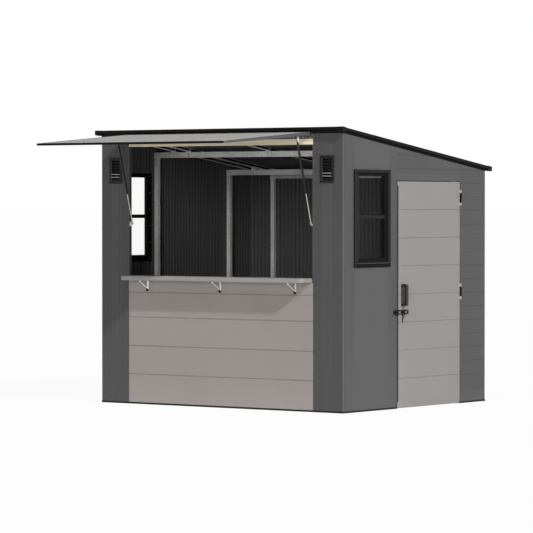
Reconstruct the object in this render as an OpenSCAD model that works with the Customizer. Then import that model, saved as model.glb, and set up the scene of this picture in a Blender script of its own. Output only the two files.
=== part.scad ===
// Resin shed with a serving hatch: pent roof, gas-strut flap, shelf counter and a side door.
// Origin: centre of the footprint on the ground. The serving front faces -Y, +Z is up.

/* [Overall] */
// Width along the serving front
shed_w = 2440; // [2200:10:3000]
// Depth from the serving front to the back wall
shed_d = 2032; // [1900:4:2500]
// Wall height at the front
front_h = 2186; // [2150:2:2400]
// Wall height at the back
back_h = 1906; // [1870:2:2000]

/* [Walls and floor] */
// Thickness of the double-skin wall panels
wall_t = 30; // [24:1:45]
// Height of the black sole strip under the walls
sole_h = 15; // [10:1:30]
// Height of the floor deck above the ground
deck_h = 40; // [30:1:70]
// Distance from the front wall to the joint between the side panels
side_joint = 692; // [690:1:720]

/* [Serving front] */
// Width of each corner panel beside the pale bay
corner_w = 290; // [260:5:400]
// How far the jambs stand into the bay at the serving opening
jamb_lip = 5; // [2:1:20]
// Height of the front header, under the roof
header_h = 86; // [60:1:120]
// Height of the counter's top
counter_z = 1050; // [950:5:1150]
// Thickness of the counter
counter_t = 38; // [25:1:60]
// Gap left between the counter and the corner panel at each end
counter_gap = 12; // [2:1:40]
// How far the counter stands out from the wall
counter_out = 137; // [100:1:160]
// How far the counter reaches into the room behind the wall
counter_in = 30; // [0:5:120]
// Distance of the outer counter brackets from the end of the bay
bracket_inset = 185; // [60:5:300]
// How far a counter bracket reaches out under the counter
bracket_reach = 120; // [70:2:130]
// Height of a counter bracket
bracket_h = 90; // [50:1:100]

/* [Flap] */
// Thickness of the flap at its hinge edge
flap_t = 31; // [24:1:31]
// Thickness of the flap at its free edge
flap_free_t = 18; // [16:1:30]
// Width of the metal frame bars round the flap
flap_frame_w = 24; // [18:1:40]
// Distance from the wall to the flap's hinge axis
flap_axis_out = 26; // [26:1:34]
// Distance of the flap's hinge axis below the top of the front wall
flap_axis_drop = 1; // [0:0.5:6]
// Slope of the open flap below level, in degrees
flap_slope = 4.5; // [2:0.5:15]
// Gap left between the closed flap and the counter
flap_gap = 6; // [5:1:20]
// Distance of the outer hinges from the end of the flap
flap_hinge_inset = 140; // [110:5:300]

/* [Struts] */
// Distance of a strut's centre line from the side of the opening
strut_inset = 23; // [20:1:40]
// Height of the lower strut pivot
strut_foot_z = 1470; // [1400:5:1560]
// Distance of the upper strut pivot from the flap's hinge axis, along the flap
strut_reach = 150; // [130:5:200]
// Distance of the upper strut pivot from the hinge axis, square to the flap
strut_drop = 46; // [42:1:60]
// Length of the strut's cylinder
cylinder_l = 430; // [350:5:440]
// Radius of the strut's cylinder
cylinder_r = 9; // [8:0.5:11]
// Radius of the strut's rod
rod_r = 4; // [3:0.5:5]

/* [Door] */
// Distance from the front wall to the near side of the doorway
doorway_y = 742; // [740:1:800]
// Width of the doorway
doorway_w = 896; // [750:2:1000]
// Height of the top of the doorway
doorway_z = 1820; // [1700:5:1830]
// Thickness of the door
door_t = 40; // [30:1:50]
// How far the door's face stands proud of the wall
door_proud = 12; // [8:1:16]
// Height of the door's bottom edge above the ground
door_foot = 5; // [4:1:12]
// Height of the middle of the upper hinge
hinge_top_z = 1683; // [1500:1:1700]
// Height of the middle of the lower hinge
hinge_low_z = 918; // [600:1:1000]
// Overall height of a door hinge
hinge_l = 128; // [80:2:140]
// Radius of a door hinge pin
hinge_pin_r = 4; // [3:0.5:5]

/* [Door furniture] */
// Height of the pull handle
handle_l = 176; // [140:2:220]
// Height of the handle's bottom edge
handle_z = 819; // [700:1:1000]
// Distance of the handle's grip from the door's face
grip_out = 50; // [35:1:60]
// Height of the middle of the hasp
hasp_z = 770; // [650:1:810]
// Length of the hasp
hasp_l = 190; // [150:2:220]

/* [Windows and vents] */
// Width of a window over its flange
window_w = 494; // [400:2:520]
// Height of a window over its flange
window_h = 768; // [600:2:800]
// Height of a window's bottom edge
window_z = 1136; // [1000:1:1150]
// Distance from the front wall to a window's near edge
window_y = 141; // [100:1:160]
// Width of a window's stiles
stile_w = 72; // [40:1:90]
// Width of a vent
vent_w = 132; // [100:2:150]
// Height of a vent
vent_h = 213; // [150:1:240]
// Height of a vent's bottom edge
vent_z = 1800; // [1600:5:1850]

/* [Roof and frame] */
// Thickness of the roof panels
roof_t = 44; // [30:1:60]
// How far the roof trim stands out at the front
eave_front = 50; // [45:1:90]
// How far the roof trim stands out at the back
eave_back = 56; // [30:1:90]
// How far the roof trim stands out at the sides
eave_side = 30; // [20:1:60]
// Height of the roof trim
trim_h = 27; // [20:1:40]
// Side of the square steel posts
post_w = 35; // [25:1:50]
// Depth of the steel cross beams
beam_h = 52; // [40:1:70]

/* [Hidden] */
$fn = 32;

// Running gaps
fit = 0.4;
pin_gap = 0.1;
swing_gap = 6;
seam = 1;
// Walls and rafters stop this far under the roof panels
roof_seat = 0.02;
// Overlap that joins two blocks of one solid
bond = 0.01;
// How far a cut runs past the face it opens
cut = 1;

// Main planes
left_x = -shed_w / 2;
right_x = shed_w / 2;
front_y = -shed_d / 2;
back_y = shed_d / 2;
inner_front_y = front_y + wall_t;
inner_back_y = back_y - wall_t;
third = shed_w / 3;
roof_fall = (front_h - back_h) / shed_d;
function wall_top(y) = front_h - roof_fall * (y - front_y);

// Serving front
bay_w = shed_w - 2 * corner_w;
opening_w = bay_w - 2 * jamb_lip;
counter_w = bay_w - 2 * counter_gap;
bracket_pitch = bay_w / 2 - bracket_inset;
bracket_shift = 16;
bracket_bar = 6;
bracket_w = 14;
flap_hinge_x = bay_w / 2 - flap_hinge_inset;
sill_z = counter_z - counter_t;
axis_z = front_h - flap_axis_drop;
header_z = front_h - header_h;
flap_l = axis_z - counter_z - flap_gap;
flap_end = 12;
axis_y = front_y - flap_axis_out;
knuckle_r = 7;
knuckle_l = 26;
hinge_plate_w = 180;
hinge_plate_t = 5;
hinge_plate_h = 42;
hinge_plate_top = axis_z + 2;
hinge_arm_low = 4;
flap_recess = 2;
flap_panel_t = 12;
// Height of the flap's outer face over its hinge axis
flap_face_n = 15;
function flap_under(s) =
    flap_face_n - flap_t + (flap_t - flap_free_t) * (s - flap_end) / (flap_l - flap_end);
flap_pin_r = 3;

// Flap coordinates: s runs from the axis towards the free edge, n towards the outer face
s_dir = [-cos(flap_slope), -sin(flap_slope)];
n_dir = [-sin(flap_slope), cos(flap_slope)];

// Struts at rest, in the YZ plane
strut_x = opening_w / 2 - strut_inset;
foot = [front_y + wall_t / 2, strut_foot_z];
head = [axis_y, axis_z] + s_dir * strut_reach - n_dir * strut_drop;
strut_l = norm(foot - head);
strut_lean = atan2(foot[0] - head[0], head[1] - foot[1]);
eye_r = 8;
eye_w = 8;
rod_eye_r = eye_r - 1;
stud_r = 3;
stud_gap = 4;
rod_in = 150;
rod_bore_end = 60;
neck_l = 12;
stud_tip = 2;
plate_half = 12;
bracket_t = 3;
foot_plate_half = 20;
foot_stud_r = stud_r + 2;

// Door
door_face_x = right_x + door_proud;
doorway_front = front_y + doorway_y;
doorway_back = doorway_front + doorway_w;
door_front = doorway_front + swing_gap;
door_back = doorway_back - swing_gap;
door_top = doorway_z - swing_gap;
hinge_r = 8;
hinge_proud = 2;
hinge_off = 3;
door_axis_x = right_x + door_proud + hinge_proud;
door_axis_y = door_back + hinge_r + hinge_off;
leaf_w = 30;
leaf_t = 3;
web_half = 2;
hinge_knuckle_l = 24;
knuckle_root = 20;
barrel_gap = 1;
panel_split_y = front_y + side_joint;

// Door furniture
handle_y = door_front + 34;
handle_foot_l = 22;
plate_w = 42;
plate_t = 4;
grip_w = 30;
grip_t = 20;
hasp_h = 38;
hasp_t = 3;
hasp_back = door_front + 134;
staple_y = doorway_front - 26;
staple_w = 24;
staple_bar = 5;
staple_out = door_proud + 16;
staple_plate_near = 27;
staple_plate_far = 22;
staple_plate_h = 32;
slot_half_h = 8;
near_slot_y = door_front + 12;
near_slot_half = 14;
far_slot_y = hasp_back - 32;
far_slot_half = 12;
pin_y = door_front + 40;
pin_w = 12;
pin_out = 10;
pin_l = 79;
pin_head_low = 2;
pin_head_high = 8;

// Windows
flange_t = 14;
flange_lap = 16;
glass_t = 4;
mid_rail_h = 30;
top_rail_h = 50;
bottom_rail_h = 72;
rabbet = 6;
glass_in = 18;
frame_in = 4;
pane_y0 = window_y + stile_w;
pane_w = window_w - 2 * stile_w;
pane_z0 = window_z + bottom_rail_h;
pane_h = window_h - bottom_rail_h - top_rail_h;

// Vents
vent_shift = 8;
vent_x = (bay_w / 2 + shed_w / 2) / 2 - vent_shift;
vent_proud = 8;
vent_rim = 14;
vent_slats = 7;
slot_low = 0.3;
slot_high = 0.8;
vent_back_t = 4;

// Roof and frame
trim_rise = 18;
post_clear_near = 50;
post_clear_far = 16;
post_near_y = doorway_front - post_clear_near - post_w;
post_far_y = doorway_back + post_clear_far;
beam_drop = 26;
back_post_inset = 270;
back_post_x = shed_w / 2 - back_post_inset - post_w;
rafter_outer = shed_w / 2 - 240;
rafter_inner = shed_w / 2 - 400;
rafter_xs = [-rafter_outer, -rafter_inner, 0, rafter_inner, rafter_outer];
rafter_w = 36;
rafter_h = beam_drop;
rail_h = 30;

// A vertical prism whose top follows the underside of the roof
module under_roof(x0, x1, y0, y1, z0) {
    translate([x0, 0, 0])
        rotate([90, 0, 90])
            linear_extrude(x1 - x0)
                polygon([
                    [y0, z0], [y1, z0],
                    [y1, wall_top(y1) - roof_seat], [y0, wall_top(y0) - roof_seat]
                ]);
}

// A sloping slab between two heights above the wall tops
module roof_slab(x0, x1, y0, y1, low, high) {
    translate([x0, 0, 0])
        rotate([90, 0, 90])
            linear_extrude(x1 - x0)
                polygon([
                    [y0, wall_top(y0) + low], [y1, wall_top(y1) + low],
                    [y1, wall_top(y1) + high], [y0, wall_top(y0) + high]
                ]);
}

// A box given by its low and high corners
module block(low, high) {
    translate(low) cube(high - low);
}

// A round bar along X
module bar_x(x0, x1, y, z, r) {
    translate([x0, y, z]) rotate([0, 90, 0]) cylinder(h = x1 - x0, r = r);
}

// Places children in the flap's own frame: X across, Y against s, Z along n
module on_flap() {
    translate([0, axis_y, axis_z]) rotate([flap_slope, 0, 0]) children();
}

// Floor
module floor_panel(x0, x1) {
    block([x0, front_y, 0], [x1, back_y, sole_h]);
    block([max(x0, left_x + wall_t), inner_front_y, 0], [min(x1, right_x - wall_t), inner_back_y, deck_h]);
}

module floor_left() {
    color("dimgray") floor_panel(left_x, left_x + third - seam / 2);
}

module floor_middle() {
    color("dimgray") floor_panel(left_x + third + seam / 2, right_x - third - seam / 2);
}

module floor_right() {
    color("dimgray")
        difference() {
            floor_panel(right_x - third + seam / 2, right_x);
            block(
                [door_face_x - door_t - swing_gap, doorway_front, -cut],
                [right_x + cut, doorway_back, deck_h + cut]
            );
        }
}

// Front wall
module front_corner(side) {
    x0 = side < 0 ? left_x : bay_w / 2;
    x1 = side < 0 ? -bay_w / 2 : right_x;
    difference() {
        under_roof(x0, x1, front_y, inner_front_y, sole_h);
        block(
            [side * vent_x - vent_w / 2 + vent_rim, front_y - cut, vent_z + vent_rim],
            [side * vent_x + vent_w / 2 - vent_rim, inner_front_y + cut, vent_z + vent_h - vent_rim]
        );
    }
    jamb_x0 = side < 0 ? -bay_w / 2 : opening_w / 2;
    jamb_x1 = side < 0 ? -opening_w / 2 : bay_w / 2;
    block([jamb_x0, front_y, counter_z], [jamb_x1, inner_front_y, header_z]);
}

module front_corner_left() {
    color([0.33, 0.33, 0.34]) front_corner(-1);
}

module front_corner_right() {
    color([0.33, 0.33, 0.34]) front_corner(1);
}

module front_lower_panel() {
    color([0.58, 0.55, 0.53])
        block([-bay_w / 2, front_y, sole_h], [bay_w / 2, inner_front_y, sill_z]);
}

module front_header() {
    color("tan") under_roof(-bay_w / 2, bay_w / 2, front_y, inner_front_y, header_z);
}

// Side walls
module window_hole(x0, x1) {
    block(
        [x0, front_y + window_y + flange_lap, window_z + flange_lap],
        [x1, front_y + window_y + window_w - flange_lap, window_z + window_h - flange_lap]
    );
}

module left_wall_front() {
    color([0.33, 0.33, 0.34])
        difference() {
            under_roof(left_x, left_x + wall_t, inner_front_y, panel_split_y, sole_h);
            window_hole(left_x - cut, left_x + wall_t + cut);
        }
}

module left_wall_back() {
    color([0.33, 0.33, 0.34])
        under_roof(left_x, left_x + wall_t, panel_split_y, inner_back_y, sole_h);
}

module right_wall_front() {
    color([0.38, 0.38, 0.39])
        difference() {
            under_roof(right_x - wall_t, right_x, inner_front_y, doorway_front, sole_h);
            window_hole(right_x - wall_t - cut, right_x + cut);
        }
}

module right_wall_over_door() {
    color([0.38, 0.38, 0.39])
        under_roof(right_x - wall_t, right_x, doorway_front, doorway_back, doorway_z);
}

module right_wall_back() {
    color([0.38, 0.38, 0.39])
        under_roof(right_x - wall_t, right_x, doorway_back, inner_back_y, sole_h);
}

// Back wall
module back_wall_left() {
    color([0.36, 0.36, 0.37]) under_roof(left_x, -seam / 2, inner_back_y, back_y, sole_h);
}

module back_wall_right() {
    color([0.36, 0.36, 0.37]) under_roof(seam / 2, right_x, inner_back_y, back_y, sole_h);
}

// Roof
module roof_panel(i) {
    color([0.1, 0.1, 0.1])
        roof_slab(
            left_x + i * third + (i > 0 ? seam / 2 : 0),
            left_x + (i + 1) * third - (i < 2 ? seam / 2 : 0),
            front_y, back_y, 0, roof_t
        );
}

module roof_panel_left() {
    roof_panel(0);
}

module roof_panel_middle() {
    roof_panel(1);
}

module roof_panel_right() {
    roof_panel(2);
}

module roof_trim_front() {
    color([0.08, 0.08, 0.08])
        roof_slab(left_x - eave_side, right_x + eave_side, front_y - eave_front, front_y,
            trim_rise, trim_rise + trim_h);
}

module roof_trim_back() {
    color([0.08, 0.08, 0.08])
        roof_slab(left_x - eave_side, right_x + eave_side, back_y, back_y + eave_back,
            trim_rise, trim_rise + trim_h);
}

module roof_trim_sides() {
    color([0.08, 0.08, 0.08])
        for (x0 = [left_x - eave_side, right_x])
            roof_slab(x0, x0 + eave_side, front_y, back_y, trim_rise, trim_rise + trim_h);
}

// Windows, built for the right wall and mirrored for the left
module window_frame() {
    y0 = front_y + window_y;
    body_in = right_x - wall_t - frame_in;
    difference() {
        union() {
            block([right_x, y0, window_z], [right_x + flange_t, y0 + window_w, window_z + window_h]);
            block(
                [body_in, y0 + flange_lap + fit, window_z + flange_lap + fit],
                [right_x + bond, y0 + window_w - flange_lap - fit, window_z + window_h - flange_lap - fit]
            );
        }
        // panes above and below the middle rail
        for (low = [pane_z0, pane_z0 + (pane_h + mid_rail_h) / 2])
            block(
                [body_in - cut, front_y + pane_y0, low],
                [right_x + flange_t + cut, front_y + pane_y0 + pane_w, low + (pane_h - mid_rail_h) / 2]
            );
        // rebate that takes the glass from the room side
        block(
            [body_in - cut, front_y + pane_y0 - rabbet, pane_z0 - rabbet],
            [right_x - glass_in, front_y + pane_y0 + pane_w + rabbet, pane_z0 + pane_h + rabbet]
        );
    }
}

module window_glass() {
    edge = rabbet - fit;
    block(
        [right_x - glass_in - glass_t, front_y + pane_y0 - edge, pane_z0 - edge],
        [right_x - glass_in, front_y + pane_y0 + pane_w + edge, pane_z0 + pane_h + edge]
    );
}

module window_frame_right() {
    color([0.16, 0.16, 0.16]) window_frame();
}

module window_frame_left() {
    color([0.16, 0.16, 0.16]) mirror([1, 0, 0]) window_frame();
}

module window_glass_right() {
    color([0.3, 0.32, 0.33, 0.5]) window_glass();
}

module window_glass_left() {
    color([0.3, 0.32, 0.33, 0.5]) mirror([1, 0, 0]) window_glass();
}

// Vents
module vent(side) {
    x0 = side * vent_x - vent_w / 2;
    pitch = (vent_h - 2 * vent_rim) / vent_slats;
    difference() {
        union() {
            block([x0, front_y - vent_proud, vent_z], [x0 + vent_w, front_y, vent_z + vent_h]);
            block(
                [x0 + vent_rim + fit, front_y - bond, vent_z + vent_rim + fit],
                [x0 + vent_w - vent_rim - fit, inner_front_y, vent_z + vent_h - vent_rim - fit]
            );
        }
        for (i = [0 : vent_slats - 1])
            block(
                [x0 + 2 * vent_rim, front_y - vent_proud - cut, vent_z + vent_rim + (i + slot_low) * pitch],
                [
                    x0 + vent_w - 2 * vent_rim, inner_front_y - vent_back_t,
                    vent_z + vent_rim + (i + slot_high) * pitch
                ]
            );
    }
}

module vents() {
    color([0.09, 0.09, 0.09])
        for (side = [-1, 1]) vent(side);
}

// Counter
module counter() {
    color([0.62, 0.6, 0.58])
        block(
            [-counter_w / 2, front_y - counter_out, sill_z],
            [counter_w / 2, inner_front_y + counter_in, counter_z]
        );
}

module counter_bracket() {
    rotate([90, 0, 90])
        translate([0, 0, -bracket_w / 2])
            linear_extrude(bracket_w)
                difference() {
                    polygon([
                        [0, 0], [-bracket_reach, 0], [-bracket_reach, -bracket_bar],
                        [-bracket_bar, -bracket_h], [0, -bracket_h]
                    ]);
                    polygon([
                        [-bracket_bar, -bracket_bar], [-bracket_reach + 3 * bracket_bar, -bracket_bar],
                        [-bracket_bar, -bracket_h + 2 * bracket_bar]
                    ]);
                }
}

module counter_brackets() {
    color("silver")
        for (i = [-1 : 1])
            translate([i * bracket_pitch + bracket_shift, front_y, sill_z]) counter_bracket();
}

// Steel frame
module post(x0, y0) {
    block([x0, y0, deck_h], [x0 + post_w, y0 + post_w, wall_top(y0 + post_w) - beam_drop - beam_h]);
}

module side_posts() {
    color("silver")
        for (y0 = [post_near_y, post_far_y])
            for (x0 = [left_x + wall_t, right_x - wall_t - post_w])
                post(x0, y0);
}

module back_posts() {
    color("silver")
        for (x0 = [-back_post_x - post_w, back_post_x])
            block(
                [x0, inner_back_y - post_w, deck_h],
                [x0 + post_w, inner_back_y, wall_top(inner_back_y) - rafter_h - rail_h]
            );
}

module cross_beam(y0, x0, x1) {
    top = wall_top(y0 + post_w) - beam_drop;
    block([x0, y0, top - beam_h], [x1, y0 + post_w, top]);
}

module cross_beams() {
    color("silver") {
        for (y0 = [post_near_y, post_far_y])
            cross_beam(y0, left_x + wall_t, right_x - wall_t);
        block(
            [-back_post_x - post_w, inner_back_y - post_w, wall_top(inner_back_y) - rafter_h - rail_h],
            [back_post_x + post_w, inner_back_y, wall_top(inner_back_y) - rafter_h]
        );
    }
}

module rafters() {
    color("silver")
        for (x = rafter_xs)
            roof_slab(x - rafter_w / 2, x + rafter_w / 2, inner_front_y, inner_back_y, -rafter_h, -roof_seat);
}

// Door, with its moulded knuckles
module door_panel() {
    color([0.61, 0.59, 0.57])
        difference() {
            union() {
                block([door_face_x - door_t, door_front, door_foot], [door_face_x, door_back, door_top]);
                for (z = [hinge_low_z, hinge_top_z])
                    for (end = [-1, 1])
                        translate([0, 0, z + end * (hinge_l - hinge_knuckle_l) / 2 - hinge_knuckle_l / 2]) {
                            translate([door_axis_x, door_axis_y, 0])
                                cylinder(h = hinge_knuckle_l, r = hinge_r);
                            block(
                                [door_axis_x - hinge_r, door_back - knuckle_root, 0],
                                [door_axis_x + hinge_r, door_axis_y, hinge_knuckle_l]
                            );
                        }
            }
            for (z = [hinge_low_z, hinge_top_z])
                translate([door_axis_x, door_axis_y, z - hinge_l / 2 - cut])
                    cylinder(h = hinge_l + 2 * cut, r = hinge_pin_r + pin_gap);
        }
}

module door_hinge(z) {
    barrel_l = hinge_l - 2 * hinge_knuckle_l - 2 * barrel_gap;
    translate([door_axis_x, door_axis_y, z - barrel_l / 2]) cylinder(h = barrel_l, r = hinge_r);
    translate([door_axis_x, door_axis_y, z - hinge_l / 2]) cylinder(h = hinge_l, r = hinge_pin_r);
    block(
        [right_x, door_axis_y - web_half, z - barrel_l / 2],
        [door_axis_x, door_axis_y + web_half, z + barrel_l / 2]
    );
    block(
        [right_x, door_axis_y - web_half, z - barrel_l / 2],
        [right_x + leaf_t, door_axis_y + leaf_w, z + barrel_l / 2]
    );
}

module door_hinges() {
    color([0.15, 0.15, 0.15])
        for (z = [hinge_low_z, hinge_top_z]) door_hinge(z);
}

module door_handle() {
    color([0.14, 0.14, 0.14]) {
        block(
            [door_face_x, handle_y, handle_z],
            [door_face_x + plate_t, handle_y + plate_w, handle_z + handle_l]
        );
        for (z = [handle_z, handle_z + handle_l - handle_foot_l])
            block([door_face_x, handle_y, z], [door_face_x + grip_out, handle_y + grip_w, z + handle_foot_l]);
        block(
            [door_face_x + grip_out - grip_t, handle_y, handle_z],
            [door_face_x + grip_out, handle_y + grip_w, handle_z + handle_l]
        );
    }
}

// Hasp: the strap rides on the door, the staple is on the wall
module strap_hole(y, half_l, half_h) {
    block(
        [door_face_x - cut, y - half_l, hasp_z - half_h],
        [door_face_x + hasp_t + cut, y + half_l, hasp_z + half_h]
    );
}

module hasp_strap() {
    color([0.05, 0.05, 0.05]) {
        difference() {
            block(
                [door_face_x, hasp_back - hasp_l, hasp_z - hasp_h / 2],
                [door_face_x + hasp_t, hasp_back, hasp_z + hasp_h / 2]
            );
            strap_hole(staple_y, staple_w / 2 + swing_gap, staple_bar / 2 + swing_gap);
            strap_hole(near_slot_y, near_slot_half, slot_half_h);
            strap_hole(far_slot_y, far_slot_half, slot_half_h);
        }
        // pin that hangs over the strap's face
        block(
            [door_face_x + hasp_t, pin_y, hasp_z - hasp_h / 2 - pin_head_low],
            [door_face_x + pin_out, pin_y + pin_w, hasp_z + pin_head_high]
        );
        block(
            [door_face_x, pin_y, hasp_z - pin_l],
            [door_face_x + pin_out, pin_y + pin_w, hasp_z - hasp_h / 2]
        );
    }
}

module hasp_staple() {
    color([0.05, 0.05, 0.05]) {
        block(
            [right_x, staple_y - staple_plate_near, hasp_z - staple_plate_h / 2],
            [right_x + hasp_t, staple_y + staple_plate_far, hasp_z + staple_plate_h / 2]
        );
        for (y = [staple_y - staple_w / 2, staple_y + staple_w / 2 - staple_bar])
            block(
                [right_x, y, hasp_z - staple_bar / 2],
                [right_x + staple_out, y + staple_bar, hasp_z + staple_bar / 2]
            );
        block(
            [right_x + staple_out - staple_bar, staple_y - staple_w / 2, hasp_z - staple_bar / 2],
            [right_x + staple_out, staple_y + staple_w / 2, hasp_z + staple_bar / 2]
        );
    }
}

// Flap
module flap_panel() {
    color([0.61, 0.6, 0.58])
        on_flap()
            block(
                [-bay_w / 2 + flap_frame_w, -flap_l + flap_frame_w, flap_face_n - flap_recess - flap_panel_t],
                [bay_w / 2 - flap_frame_w, -flap_end - flap_frame_w, flap_face_n - flap_recess]
            );
}

module flap_frame() {
    color([0.42, 0.42, 0.42])
        on_flap()
            difference() {
                translate([-bay_w / 2, 0, 0])
                    rotate([90, 0, 90])
                        linear_extrude(bay_w)
                            polygon([
                                [-flap_l, flap_under(flap_l)], [-flap_end, flap_under(flap_end)],
                                [-flap_end, flap_face_n], [-flap_l, flap_face_n]
                            ]);
                block(
                    [-bay_w / 2 + flap_frame_w, -flap_l + flap_frame_w, -flap_t],
                    [bay_w / 2 - flap_frame_w, -flap_end - flap_frame_w, flap_t]
                );
            }
}

// Hinge halves on the header, with their pins
module flap_hinge() {
    block(
        [-hinge_plate_w / 2, front_y - hinge_plate_t, hinge_plate_top - hinge_plate_h],
        [hinge_plate_w / 2, front_y, hinge_plate_top]
    );
    for (end = [-1, 1])
        translate([end * (knuckle_l + barrel_gap), 0, 0]) {
            bar_x(-knuckle_l / 2, knuckle_l / 2, axis_y, axis_z, knuckle_r);
            block(
                [-knuckle_l / 2, axis_y, axis_z - hinge_arm_low],
                [knuckle_l / 2, front_y, hinge_plate_top]
            );
        }
    bar_x(-1.5 * knuckle_l, 1.5 * knuckle_l, axis_y, axis_z, flap_pin_r);
}

module flap_hinges() {
    color([0.5, 0.5, 0.5])
        for (i = [-1 : 1]) translate([i * flap_hinge_x, 0, 0]) flap_hinge();
}

// Knuckles and strut studs carried by the flap
module flap_knuckle() {
    difference() {
        union() {
            bar_x(-knuckle_l / 2, knuckle_l / 2, 0, 0, knuckle_r);
            block([-knuckle_l / 2, -flap_end, -knuckle_r], [knuckle_l / 2, 0, knuckle_r]);
        }
        bar_x(-knuckle_l, knuckle_l, 0, 0, flap_pin_r + pin_gap);
    }
}

module strut_stud(side) {
    plate_x = side * (strut_x + eye_w / 2 + stud_gap);
    tip_x = side * (strut_x - eye_w / 2 - stud_tip);
    translate([0, -strut_reach, 0]) {
        translate([min(plate_x, plate_x + side * bracket_t), 0, 0])
            rotate([90, 0, 90])
                linear_extrude(bracket_t)
                    polygon([
                        [-plate_half, -strut_drop - eye_r], [plate_half, -strut_drop - eye_r],
                        [plate_half, flap_under(strut_reach - plate_half)],
                        [-plate_half, flap_under(strut_reach + plate_half)]
                    ]);
        bar_x(min(plate_x, tip_x), max(plate_x, tip_x), 0, -strut_drop, stud_r);
    }
}

module flap_fittings() {
    color("silver")
        on_flap() {
            for (i = [-1 : 1]) translate([i * flap_hinge_x, 0, 0]) flap_knuckle();
            for (side = [-1, 1]) strut_stud(side);
        }
}

// Strut feet on the sides of the opening
module strut_foot(side) {
    wall_x = opening_w / 2;
    tip_x = strut_x + eye_w / 2 + stud_gap;
    x0 = side > 0 ? wall_x - bracket_t : -wall_x;
    block(
        [x0, foot[0] - plate_half, foot[1] - foot_plate_half],
        [x0 + bracket_t, foot[0] + plate_half, foot[1] + foot_plate_half]
    );
    bar_x(side > 0 ? tip_x : -wall_x, side > 0 ? wall_x : -tip_x, foot[0], foot[1], foot_stud_r);
}

module strut_feet() {
    color("silver")
        for (side = [-1, 1]) strut_foot(side);
}

// Places children at the strut's head with -Z along the strut towards its foot
module on_strut(side) {
    translate([side * strut_x, head[0], head[1]]) rotate([strut_lean, 0, 0]) children();
}

module strut_cylinder(side) {
    color([0.08, 0.08, 0.08])
        on_strut(side)
            difference() {
                union() {
                    translate([0, 0, -cylinder_l]) cylinder(h = cylinder_l - eye_r - neck_l, r = cylinder_r);
                    translate([0, 0, -eye_r - neck_l - bond]) cylinder(h = eye_r + neck_l, r = eye_w / 2);
                    bar_x(-eye_w / 2, eye_w / 2, 0, 0, eye_r);
                }
                bar_x(-eye_w, eye_w, 0, 0, stud_r + pin_gap);
                translate([0, 0, -cylinder_l - cut])
                    cylinder(h = cylinder_l - rod_bore_end, r = rod_r + pin_gap);
            }
}

module strut_cylinder_left() {
    strut_cylinder(-1);
}

module strut_cylinder_right() {
    strut_cylinder(1);
}

module strut_rod(side) {
    color([0.75, 0.72, 0.66])
        on_strut(side) {
            translate([0, 0, -strut_l]) cylinder(h = strut_l - cylinder_l + rod_in, r = rod_r);
            bar_x(-eye_w / 2, eye_w / 2, 0, -strut_l, rod_eye_r);
        }
}

module strut_rod_left() {
    strut_rod(-1);
}

module strut_rod_right() {
    strut_rod(1);
}

floor_left();
floor_middle();
floor_right();
front_corner_left();
front_corner_right();
front_lower_panel();
front_header();
left_wall_front();
left_wall_back();
right_wall_front();
right_wall_over_door();
right_wall_back();
back_wall_left();
back_wall_right();
roof_panel_left();
roof_panel_middle();
roof_panel_right();
roof_trim_front();
roof_trim_back();
roof_trim_sides();
window_frame_left();
window_glass_left();
window_frame_right();
window_glass_right();
vents();
counter();
counter_brackets();
side_posts();
back_posts();
cross_beams();
rafters();
door_panel();
door_hinges();
door_handle();
hasp_strap();
hasp_staple();
flap_panel();
flap_frame();
flap_hinges();
flap_fittings();
strut_feet();
strut_cylinder_left();
strut_cylinder_right();
strut_rod_left();
strut_rod_right();
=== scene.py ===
"""Looks of the resin shed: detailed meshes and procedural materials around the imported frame."""

import math

import bmesh
import bpy
import numpy as np
from mathutils import Matrix, Vector


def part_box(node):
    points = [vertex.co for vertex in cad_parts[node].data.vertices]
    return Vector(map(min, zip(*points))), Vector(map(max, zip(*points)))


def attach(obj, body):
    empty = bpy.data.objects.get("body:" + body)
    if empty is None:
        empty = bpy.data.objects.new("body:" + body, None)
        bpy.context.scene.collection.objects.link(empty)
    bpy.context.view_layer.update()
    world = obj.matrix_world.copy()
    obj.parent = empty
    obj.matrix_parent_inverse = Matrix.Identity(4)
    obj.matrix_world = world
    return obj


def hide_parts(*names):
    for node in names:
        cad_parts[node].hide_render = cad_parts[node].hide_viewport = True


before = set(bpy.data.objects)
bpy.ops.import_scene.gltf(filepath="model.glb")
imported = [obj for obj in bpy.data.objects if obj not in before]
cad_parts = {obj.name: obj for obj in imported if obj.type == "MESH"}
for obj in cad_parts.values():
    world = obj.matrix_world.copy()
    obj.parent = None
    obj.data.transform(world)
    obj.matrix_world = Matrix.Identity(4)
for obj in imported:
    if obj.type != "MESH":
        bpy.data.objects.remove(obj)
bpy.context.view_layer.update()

MM = 0.001
BOX = {name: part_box(name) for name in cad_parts}


def low(node, axis):
    return BOX[node][0][axis]


def high(node, axis):
    return BOX[node][1][axis]


# ---------------------------------------------------------------- main planes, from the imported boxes
FRONT = -low("front_lower_panel", 1)
FRONT_IN = -high("front_lower_panel", 1)
BACK = high("back_wall_left", 1)
BACK_IN = low("back_wall_left", 1)
SIDE = high("right_wall_front", 0)
SIDE_IN = low("right_wall_front", 0)
SOLE = low("front_lower_panel", 2)
SILL = high("front_lower_panel", 2)
BAY = high("front_lower_panel", 0)
HEADER = low("front_header", 2)
COUNTER_TOP = high("counter", 2)
DOORWAY = (low("right_wall_over_door", 1), high("right_wall_over_door", 1))
DOORWAY_TOP = low("right_wall_over_door", 2)
SIDE_SEAM = high("left_wall_front", 1)
SEAM = 0.5 * MM
FALL = (high("front_header", 2) - high("back_wall_left", 2)) / (FRONT + BACK_IN)


def roof_under(y):
    """Height of the roof panels' underside at y."""
    return high("front_header", 2) - FALL * (y + FRONT)


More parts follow.
